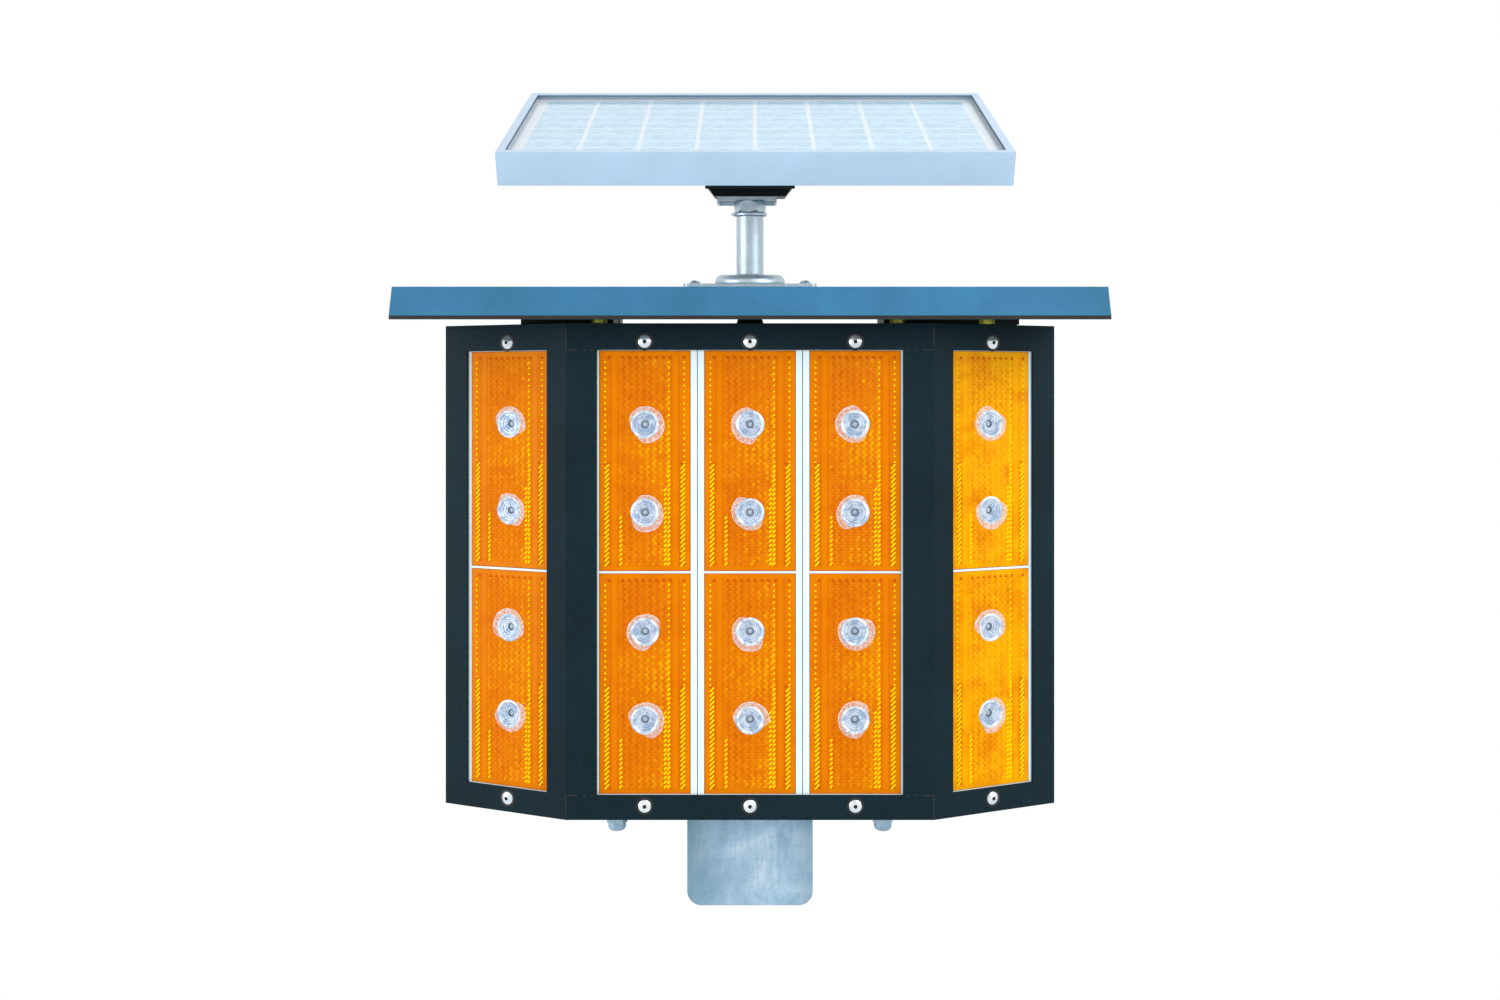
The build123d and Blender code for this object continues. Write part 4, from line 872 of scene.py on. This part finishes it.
class MARKER_OT_reflectors(bpy.types.Operator):
    """Finishes the reflectors and carriers, and covers the reflectors' faces with prisms."""
    bl_idname = "marker.reflectors"
    bl_label = "Prismatic reflectors"

    def execute(self, context):
        settings = context.scene.marker_prism
        paint(amber_acrylic("acrylic_amber", False),
              *[f"reflector_{strip}_{half}" for strip in STRIPS for half in HALVES])
        paint(white_abs(context.scene.marker_finish.carriers), *[f"carrier_{strip}" for strip in STRIPS])
        finish = amber_acrylic("acrylic_amber_prisms", True)
        random = Random(7)
        for strip in STRIPS:
            places, glint_and_shade_values = [], []
            for half in HALVES:
                base = reflector_place(strip, half)
                for row, column, x, z in self.prism_grid(settings, base):
                    places.append(base @ Matrix.Translation((x, 0, z)))
                    glint_and_shade_values.append(self.tint(settings, row, column, x, z, random))
            item = self.prism(settings)
            piece = placed_copies(f"prisms_{strip}", item, places, finish, glint_and_shade_values=glint_and_shade_values)
            finished(piece, "housing")
        self.bands(settings)
        self.glints(settings)
        return {"FINISHED"}

    def glints(self, settings):
        """Slanting facets down the lower edges and dots down the upper ones, coloured bright yellow as
        painted glints.
        """
        width, height = reflector_size()
        low, middle, top = -height / 2 + settings.border + 2 * MM, -1 * MM, height / 2 - 8 * MM
        edge, inner = width / 2 - 5.4 * MM, width / 2 - 15.4 * MM
        dashes = [(-edge, low, middle), (edge, low, middle)]
        short_dashes = [(inner, low, middle), (inner - 2.6 * MM, low, -height / 8),
                        (-inner, low, -height / 4)]
        dots = [(-edge - 1.2 * MM, middle, top), (edge + 1.0 * MM, middle, top), (inner, middle, top)]
        # Painted highlight: the ridges are a flat bright yellow standing in for light glinting off the
        # facets.
        finish = amber_acrylic("acrylic_amber_bright", False, "#FFE000", (0.95, 1.0))
        self.ridge_rows("dashes", dashes, 3.3 * MM, 4.6 * MM, finish)
        self.ridge_rows("short_dashes", short_dashes, 3.3 * MM, 2.6 * MM, finish)
        self.ridge_rows("dots", dots, 4.2 * MM, 1.3 * MM, finish)

    def ridge_rows(self, name, rows, step, length, finish):
        """Slanting ridges on every reflector, in rows given as (across, lowest, highest)."""
        slant = Matrix.Rotation(radians(-48), 4, "Y")
        places = []
        for strip in STRIPS:
            for half in HALVES:
                base = reflector_place(strip, half)
                for x, start, end in rows:
                    levels = [start + i * step for i in range(int((end - start) / step) + 1)]
                    places += [base @ Matrix.Translation((x, 0, z)) @ slant for z in levels
                               if clear_of_lenses(base, x, z, 3 * MM)]
        piece = placed_copies(f"reflector_{name}", self.ridge(length, 1.25 * MM), places, finish)
        finished(piece, "housing")

    def ridge(self, length, width):
        """Long low facet with a sharp crest, lying along X."""
        x, z = length / 2, width / 2
        foot, shoulder, crest = 0.04 * MM, -0.30 * MM, -0.62 * MM
        vertices = [(-x, foot, -z), (x, foot, -z), (x, foot, z), (-x, foot, z),
                    (-x, shoulder, -z), (x, shoulder, -z), (x, shoulder, z), (-x, shoulder, z),
                    (-x + z, crest, 0), (x - z, crest, 0)]
        faces = [(0, 1, 2, 3), (0, 4, 5, 1), (1, 5, 6, 2), (2, 6, 7, 3), (3, 7, 4, 0),
                 (4, 8, 9, 5), (5, 9, 6), (6, 9, 8, 7), (7, 8, 4)]
        return mesh_object("ridge", vertices, faces)

    def bands(self, settings):
        """Plain deeper bands between the prism fields, each with a fine ridge down its sides."""
        width, height = reflector_size()
        centre = width / 2 - (settings.band_start + settings.band_end) / 2
        half = (settings.band_end - settings.band_start) / 2 - 0.3 * MM
        reach = height / 2 - settings.border
        places = []
        for strip in STRIPS:
            for half_name in HALVES:
                base = reflector_place(strip, half_name)
                places += [base @ Matrix.Translation((side * centre, 0, 0)) for side in (-1, 1)]
        foot = 0.04 * MM
        parts = [((-half, -0.10 * MM, -reach), (half, foot, reach))]
        for side in (-1, 1):
            ridge = sorted((side * half, side * (half + 0.35 * MM)))
            parts.append(((ridge[0], -0.4 * MM, -reach), (ridge[1], foot, reach)))
        vertices, faces = box_parts(parts, Matrix.Identity(4))
        bands = placed_copies("reflector_bands", mesh_object("band", vertices, faces), places,
                              amber_acrylic("acrylic_amber_deep", False, "#E07000"))
        finished(bands, "housing")

    def prism_grid(self, settings, base):
        """Prism centres on one reflector, clear of the border, the bands and the lenses."""
        width, height = reflector_size()
        pitch, rise = settings.pitch, settings.pitch * sqrt(3) / 2
        rows = int((height / 2 - settings.border) / rise)
        columns = int((width / 2 - settings.border) / pitch)
        spots = []
        for row in range(-rows, rows + 1):
            shift = pitch / 2 if row % 2 else 0.0
            for column in range(-columns, columns + 1):
                x, z = column * pitch + shift, row * rise
                side = width / 2 - abs(x)
                on_band = settings.band_start < side < settings.band_end
                if side < settings.border + pitch / 2 or on_band:
                    continue
                if clear_of_lenses(base, x, z, 0.6 * MM):
                    spots.append((row, column, x, z))
        return spots

    def tint(self, settings, row, column, x, z, random):
        """Painted glint and shade of a prism: 0 is the reddest shade, 0.5 the plain amber and 1 a yellow
        glint. The top row alternates, the side fields are painted in deeper shade below, and the middle is
        chequered under slow waves of shade."""
        width, height = reflector_size()
        side = width / 2 - abs(x)
        if height / 2 - z < settings.border + 3 * MM:
            return 0.05 if column % 2 else 0.45
        if side < settings.band_start:
            return 0.16 if z < 0 else 0.44
        value = 0.56 if (row + column) % 2 else 0.36
        value += random.gauss(0.0, 0.05) + 0.06 * sin(z / (15 * MM) + 1.0) + 0.05 * sin(x / (9 * MM))
        return min(max(value, 0.0), 1.0)

    def prism(self, settings):
        """Six-sided prism whose three faces meet at a point, with a foot sunk in the plate."""
        parting = 0.97
        radius = settings.pitch / sqrt(3) * parting
        step, foot = settings.height / 2, 0.05 * MM
        corners = [(radius * sin(tau * i / 6), radius * cos(tau * i / 6)) for i in range(6)]
        vertices = [(0, -2 * step, 0)]
        vertices += [(x, -step if i % 2 == 0 else 0.0, z) for i, (x, z) in enumerate(corners)]
        vertices += [(x, foot, z) for x, z in corners]
        faces = [[0, 1 + i, 1 + (i + 1) % 6, 1 + (i + 2) % 6] for i in (0, 2, 4)]
        faces += [[1 + i, 7 + i, 7 + (i + 1) % 6, 1 + (i + 1) % 6] for i in range(6)]
        faces.append([7 + i for i in range(6)])
        return mesh_object("prism", vertices, faces)


class MARKER_OT_lenses(bpy.types.Operator):
    """Makes the clear lenses, their metallised cups and the sealant round them."""
    bl_idname = "marker.lenses"
    bl_label = "Lenses"

    def execute(self, context):
        settings = context.scene.marker_lens
        places = lens_places()
        lenses = placed_copies("lenses", self.lens(settings), places, clear_polycarbonate(), radians(40))
        finished(lenses, "housing", stands_for=["led_lenses"])
        cups = placed_copies("lens_cups", self.cup(settings), places, metallised_cup())
        finished(cups, "housing")
        random = Random(11)
        vertices, faces, edge_sheens = [], [], []
        for place in places:
            edge_sheens += self.sealant(settings, place, random, vertices, faces)
        sealant = kept_value(mesh_object("lens_sealant", vertices, faces, smooth=True), "rim", edge_sheens)
        finished(sealant, "housing", silicone_sealant())
        return {"FINISHED"}

    def lens(self, settings):
        """Clear shell: dome with a stepped foot, flange, and rings moulded inside."""
        dome, rise, flange = settings.dome_radius, settings.dome_height, settings.flange_radius
        ball = (dome ** 2 + rise ** 2) / (2 * rise)
        plinth, wall, foot = 1.5 * MM, 0.9 * MM, 0.05 * MM
        profile = [(0.0, -plinth - rise)]
        for i in range(1, 9):
            radius = dome * i / 8
            profile.append((radius, -plinth - (sqrt(ball ** 2 - radius ** 2) - ball + rise)))
        profile += [
            (dome + 0.2 * MM, -plinth + 0.4 * MM),
            (dome + 0.3 * MM, -0.9 * MM),
            (flange - 0.5 * MM, -0.8 * MM),
            (flange, -0.4 * MM),
            (flange, foot),
            (dome, foot),
        ]
        for i in range(1, 7):
            radius = (dome - wall) * (1 - i / 7)
            shell = sqrt(ball ** 2 - radius ** 2) - ball + rise
            profile.append((radius, -plinth + wall - shell))
        profile.append((0.0, -plinth + wall - rise))
        return lathe("lens", profile)

    def cup(self, settings):
        """Stepped metallised cup behind the lens, with its bright collar under the flange."""
        collar, mouth, hole = 10.2 * MM, settings.dome_radius - 0.4 * MM, 2.9 * MM
        foot, back = 0.05 * MM, 3.2 * MM
        profile = [(collar, foot, 1), (collar, -0.35 * MM, 1), (mouth + 0.5 * MM, -0.9 * MM, 1)]
        steps = ((8.0, 0.0), (7.5, 0.5), (6.2, 0.5), (5.8, 1.3), (4.4, 1.3), (4.0, 2.2), (3.0, 2.2))
        for index, (radius, depth) in enumerate(steps):
            # Value 1 marks a bright step and 0 a groove, which the material paints in grey-blue painted
            # shade.
            profile.append((radius * MM, depth * MM, 0 if index % 2 else 1))
        profile += [(hole, back - 0.3 * MM, 0), (hole, back, 0)]
        profile += [(mouth, back, 0), (mouth + 0.4 * MM, foot, 0)]
        cup = lathe("cup", [(radius, depth) for radius, depth, _ in profile], smooth=False)
        values = [value for _, _, value in profile for _ in range(LATHE_STEPS)]
        return kept_value(cup, "ring", values)

    def sealant(self, settings, place, random, vertices, faces):
        """Uneven low bead round a lens, off to one side and broken where the sealant ran out."""
        steps = 44
        start = random.uniform(0, tau)
        sweep = tau * random.choice((0.62, 0.78, 0.9, 0.84, 0.7))
        phase = [random.uniform(0, tau) for _ in range(3)]
        inner = settings.flange_radius - 0.7 * MM
        height = 0.8 * MM
        edge_sheens, rings = [], []
        for i in range(steps + 1):
            angle = start + sweep * i / steps
            taper = min(1.0, 7 * i / steps + 0.25, 7 * (steps - i) / steps + 0.25)
            lean = 1.1 * sin(angle - phase[0]) + 0.25 * sin(3 * angle + phase[1])
            lean += 0.12 * sin(9 * angle + phase[2])
            outer = inner + (settings.sealant_radius - inner + 0.75 * MM * lean) * taper
            ring = []
            # The third value, rim, marks the bead's edges, which the material paints whiter as a painted
            # highlight.
            for share, lift, rim in ((0, -0.05, 1), (0, 1.15, 1), (0.28, 1.0, 0), (0.72, 0.7, 0),
                                     (0.86, 0.75, 1), (1, 0.35, 1), (1, -0.05, 1)):
                radius = inner + (outer - inner) * share
                ring.append(len(vertices))
                spot = Vector((radius * cos(angle), -lift * height, radius * sin(angle)))
                vertices.append(place @ spot)
                edge_sheens.append(rim)
            rings.append(ring)
        for first, second in zip(rings, rings[1:]):
            for k in range(len(first)):
                m = (k + 1) % len(first)
                faces.append([first[k], first[m], second[m], second[k]])
        faces.append(rings[0][::-1])
        faces.append(rings[-1])
        return edge_sheens


class MARKER_OT_rivet_wells(bpy.types.Operator):
    """Makes black pieces as painted shade: rings in the dimples round the rivets, stubs in their hollow
    centres and strips along the front rails' seams.
    """
    bl_idname = "marker.rivet_wells"
    bl_label = "Rivet washers and seams"

    def execute(self, context):
        # Painted shade: the black of these pieces stands in for shade round and inside the rivets and in
        # the seams.
        rubber = moulded_plastic("sealing_washer_black", "#07090B", "#040506", 0.6)
        ring = lathe("ring", [(3.0 * MM, -0.05 * MM), (6.1 * MM, -0.28 * MM), (6.4 * MM, -0.1 * MM),
                              (6.4 * MM, 0.05 * MM), (3.0 * MM, 0.05 * MM)])
        shadow_rings = placed_copies("rivet_washers", ring, rivet_places(), rubber)
        finished(shadow_rings, "housing")
        # Painted shade: a black stub fills each rivet's hollow centre where shade lies.
        stub = lathe("stub", [(0, -1.3 * MM), (0.8 * MM, -1.2 * MM), (1.36 * MM, -0.7 * MM),
                              (1.36 * MM, 2 * MM), (0, 2 * MM)], steps=16)
        hole_shades = placed_copies("rivet_mandrels", stub, rivet_places(), rubber)
        finished(hole_shades, "housing")
        # Painted shade: thin black strips along the front rails' seams stand in for the shade in their
        # gaps.
        top_low, top_high, _ = node_box("top_rail")
        bottom_low, bottom_high, _ = node_box("bottom_rail")
        width, proud, sunk = 0.45 * MM, 0.12 * MM, 0.2 * MM
        face = top_low.y
        boxes = []
        for side in (-1, 1):
            x = side * (top_high.x + 0.1 * MM)
            for bottom, top in ((top_low.z, top_high.z), (bottom_low.z, bottom_high.z)):
                boxes.append(((x - width, face - proud, bottom), (x + width, face + sunk, top)))
            for level in (top_low.z, bottom_high.z):
                for start, length in ((0.0, 8.5), (12.0, 3.0), (17.5, 2.5)):
                    ends = sorted((x - side * start * MM, x - side * (start + length) * MM))
                    boxes.append(((ends[0], face - proud, level - width),
                                  (ends[1], face + sunk, level + width)))
        vertices, faces = box_parts(boxes, Matrix.Identity(4))
        seams = rounded(mesh_object("seam_filler", vertices, faces), 0.1)
        finished(seams, "housing", rubber)
        return {"FINISHED"}


class MARKER_OT_solar_panel(bpy.types.Operator):
    """Makes the cells, ribbons and cover glass of the solar panel, and finishes its frame."""
    bl_idname = "marker.solar_panel"
    bl_label = "Solar panel"

    def execute(self, context):
        settings = context.scene.marker_panel
        paint(anodised_aluminium(context.scene.marker_finish.frame), "panel_frame")
        paint(backsheet_film(), "panel_cells")
        place = panel_place()
        width, length = panel_size()
        across = (width - 2 * settings.border + settings.column_gap) / settings.columns
        along = (length - 2 * settings.border * 0.75 + settings.row_gap) / settings.rows
        cell = (across - settings.column_gap, along - settings.row_gap)
        spots = []
        for column in range(settings.columns):
            for row in range(settings.rows):
                x = (column - (settings.columns - 1) / 2) * across
                y = (row - (settings.rows - 1) / 2) * along
                spots.append(place @ Matrix.Translation((x, y, 0)))
        silicon = polycrystalline_silicon(context.scene.marker_finish.cells)
        cells = placed_copies("solar_cells", self.cell(cell), spots, silicon)
        finished(cells, "solar_panel")
        ribbons = placed_copies("cell_ribbons", self.ribbons(cell), spots, tinned_copper())
        finished(ribbons, "solar_panel")
        self.glass(place, width, length)
        self.inner_seal(place, width, length)
        return {"FINISHED"}

    def cell(self, size):
        """Thin wafer with clipped corners."""
        half_x, half_y, clip, thick = size[0] / 2, size[1] / 2, 0.8 * MM, 0.12 * MM
        outline = []
        for sx, sy in ((1, 1), (-1, 1), (-1, -1), (1, -1)):
            pair = [(sx * half_x, sy * (half_y - clip)), (sx * (half_x - clip), sy * half_y)]
            outline += pair if sx * sy > 0 else pair[::-1]
        vertices = [(x, y, z) for z in (0.0, thick) for x, y in outline]
        count = len(outline)
        faces = [list(range(count))[::-1], [count + i for i in range(count)]]
        faces += [[i, (i + 1) % count, count + (i + 1) % count, count + i] for i in range(count)]
        return mesh_object("cell", vertices, faces)

    def ribbons(self, size):
        """Two fine ribbons across a cell."""
        half_x, top = size[0] / 2, 0.16 * MM
        boxes = []
        for y in (-size[1] / 4, size[1] / 4):
            boxes.append(((-half_x, y - 0.2 * MM, 0.1 * MM), (half_x, y + 0.2 * MM, top)))
        vertices, faces = box_parts(boxes, Matrix.Identity(4))
        return mesh_object("ribbon", vertices, faces)

    def glass(self, place, width, length):
        """Cover glass just above the cells."""
        low, high = 0.35 * MM, 3.2 * MM
        half_x, half_y = width / 2, length / 2
        vertices, faces = box_parts([((-half_x, -half_y, low), (half_x, half_y, high))], place)
        glass = rounded(mesh_object("cover_glass", vertices, faces), 0.4)
        finished(glass, "solar_panel", tempered_glass(), ["panel_glass"])

    def inner_seal(self, place, width, length):
        """Dark blue-black sealant line where the glass meets the frame's lip."""
        under_lip, thick, thin = 3.9 * MM, 0.9 * MM, 0.4 * MM
        edge_x, edge_y = width / 2 - under_lip, length / 2 - under_lip
        low, high = 3.15 * MM, 3.6 * MM
        boxes = [
            ((-edge_x, edge_y - thick, low), (edge_x, edge_y, high)),
            ((-edge_x, -edge_y, low), (edge_x, -edge_y + thin, high)),
            ((-edge_x, -edge_y, low), (-edge_x + thin, edge_y, high)),
            ((edge_x - thin, -edge_y, low), (edge_x, edge_y, high)),
        ]
        vertices, faces = box_parts(boxes, place)
        seal = mesh_object("glass_seal", vertices, faces)
        finished(seal, "solar_panel",
                 moulded_plastic("sealant_navy", "#14324E", "#0E2438", 0.5))


class MARKER_OT_weld_beads(bpy.types.Operator):
    """Makes the welds round the socket, the apron and the mast's foot."""
    bl_idname = "marker.weld_beads"
    bl_label = "Weld beads"

    def execute(self, context):
        metal = weld_metal()
        plate_low = node_box("base_plate")[0].z
        low, high, _ = node_box("apron_plate")
        steps = 60
        line = [Vector((low.x + (high.x - low.x) * i / steps, low.y - 0.2 * MM, plate_low - 0.6 * MM))
                for i in range(steps + 1)]
        finished(self.bead("apron_weld", line, False, 5), "housing", metal)
        socket_radius = (node_box("post_socket")[1].x - node_box("post_socket")[0].x) / 2
        ring = circle(socket_radius, plate_low - 0.8 * MM, 90)
        finished(self.bead("socket_weld", ring, True, 6), "housing", metal)
        mast = roof_place()
        tube_radius, flange_top = 10.85 * MM, 9.4 * MM
        foot = [mast @ point for point in circle(tube_radius, flange_top, 60)]
        finished(self.bead("mast_weld", foot, True, 8, 0.7), "housing",
                 bpy.data.materials["zinc_bright"])
        return {"FINISHED"}

    def bead(self, name, points, closed, seed, size=1.0):
        """Rippled bead along a line of points."""
        random = Random(seed)
        count, sides = len(points), 8
        vertices, faces = [], []
        for i, point in enumerate(points):
            ahead = points[(i + 1) % count] if closed else points[min(i + 1, count - 1)]
            behind = points[i - 1] if closed or i else points[0]
            along = (ahead - behind).normalized()
            up = Vector((0, 0, 1))
            across = along.cross(up).normalized()
            radius = size * MM * (1.15 + 0.35 * sin(i * 2.1) + random.uniform(-0.2, 0.2))
            for k in range(sides):
                angle = tau * k / sides
                vertices.append(point + across * radius * cos(angle) + up * radius * sin(angle))
        last = count if closed else count - 1
        for i in range(last):
            j = (i + 1) % count
            for k in range(sides):
                m = (k + 1) % sides
                faces.append([i * sides + k, i * sides + m, j * sides + m, j * sides + k])
        if not closed:
            faces += [list(range(sides)), list(range((count - 1) * sides, count * sides))]
        return mesh_object(name, vertices, faces, smooth=True)


class MARKER_OT_stage(bpy.types.Operator):
    """Sets the pale floor, the soft light and the camera."""
    bl_idname = "marker.stage"
    bl_label = "Stage"

    def execute(self, context):
        settings = context.scene.marker_stage
        scene = context.scene
        scene.view_settings.view_transform = "Standard"
        self.floor()
        self.world(scene, settings)
        front = node_box("top_rail")[0].y
        self.lamp("key_light", place=(1.5, -1.25, 1.3), size=1.6, power=settings.key_power)
        self.lamp("fill_light", place=(-1.4, -0.8, 0.5), size=1.2, power=settings.key_power * 0.4)
        lens = bpy.data.cameras.new("camera")
        lens.lens = settings.focal_length
        lens.sensor_width = 36.0
        lens.shift_y = -0.07
        lens.clip_start = 0.05
        lens.clip_end = 30.0
        camera = bpy.data.objects.new("camera", lens)
        scene.collection.objects.link(camera)
        camera.location = (0.0, front - settings.distance, settings.eye_level)
        camera.rotation_euler = (pi / 2, 0.0, 0.0)
        scene.camera = camera
        return {"FINISHED"}

    def floor(self):
        """Round pale floor well below the held object."""
        steps = 96
        floor = mesh_object("floor", circle(1.1, -0.60, steps), [list(range(steps))])
        floor.data.materials.append(studio_floor())

    def world(self, scene, settings):
        """Plain white surroundings, seen as white and lighting evenly."""
        world = bpy.data.worlds.new("studio")
        scene.world = world
        world.use_nodes = True
        tree = world.node_tree
        path = add_node(tree, "ShaderNodeLightPath").outputs
        seen = add_node(tree, "ShaderNodeMath", {0: path["Is Camera Ray"], 1: path["Is Transmission Ray"]},
                        operation="MAXIMUM")
        seen = add_node(tree, "ShaderNodeMath", {0: seen, 1: path["Is Glossy Ray"]}, operation="MAXIMUM")
        strength = add_node(tree, "ShaderNodeMapRange", {"Value": seen, "To Min": settings.world_strength})
        fill(tree, tree.nodes["Background"], {"Color": "#FFFFFF", "Strength": strength})

    def lamp(self, name, place, size, power):
        """Square area light that faces the object's middle."""
        light = bpy.data.lights.new(name, "AREA")
        light.size = size
        light.energy = power
        made = bpy.data.objects.new(name, light)
        bpy.context.scene.collection.objects.link(made)
        made.location = place
        aim = Vector((0, 0, 0.33)) - Vector(place)
        made.rotation_euler = aim.to_track_quat("-Z", "Y").to_euler()


class MARKER_PT_panel(bpy.types.Panel):
    """Sidebar panel that lists the marker's makers."""
    bl_label = "Solar barricade marker"
    bl_idname = "MARKER_PT_panel"
    bl_space_type = "VIEW_3D"
    bl_region_type = "UI"
    bl_category = "Marker"

    def draw(self, context):
        layout = self.layout
        for name in GROUPS:
            settings = getattr(context.scene, name)
            column = layout.column(heading=settings.bl_rna.name)
            for key in settings.__annotations__:
                column.prop(settings, key)
        for operator in OPERATORS:
            layout.operator(operator.bl_idname)


GROUPS = {
    "marker_finish": FinishSettings,
    "marker_prism": PrismSettings,
    "marker_lens": LensSettings,
    "marker_panel": PanelSettings,
    "marker_stage": StageSettings,
}
OPERATORS = (
    MARKER_OT_sheet_metal,
    MARKER_OT_hardware,
    MARKER_OT_reflectors,
    MARKER_OT_lenses,
    MARKER_OT_rivet_wells,
    MARKER_OT_solar_panel,
    MARKER_OT_weld_beads,
    MARKER_OT_stage,
)


def register():
    """Registers the settings, operators and panel."""
    for name, group in GROUPS.items():
        bpy.utils.register_class(group)
        setattr(bpy.types.Scene, name, bpy.props.PointerProperty(type=group))
    for operator in OPERATORS:
        bpy.utils.register_class(operator)
    bpy.utils.register_class(MARKER_PT_panel)


def unregister():
    """Removes what register added."""
    bpy.utils.unregister_class(MARKER_PT_panel)
    for operator in reversed(OPERATORS):
        bpy.utils.unregister_class(operator)
    for name, group in reversed(GROUPS.items()):
        delattr(bpy.types.Scene, name)
        bpy.utils.unregister_class(group)


def main():
    """Builds everything in order."""
    register()
    for operator in OPERATORS:
        area, call = operator.bl_idname.split(".")
        getattr(getattr(bpy.ops, area), call)()


if __name__ == "__main__":
    main()
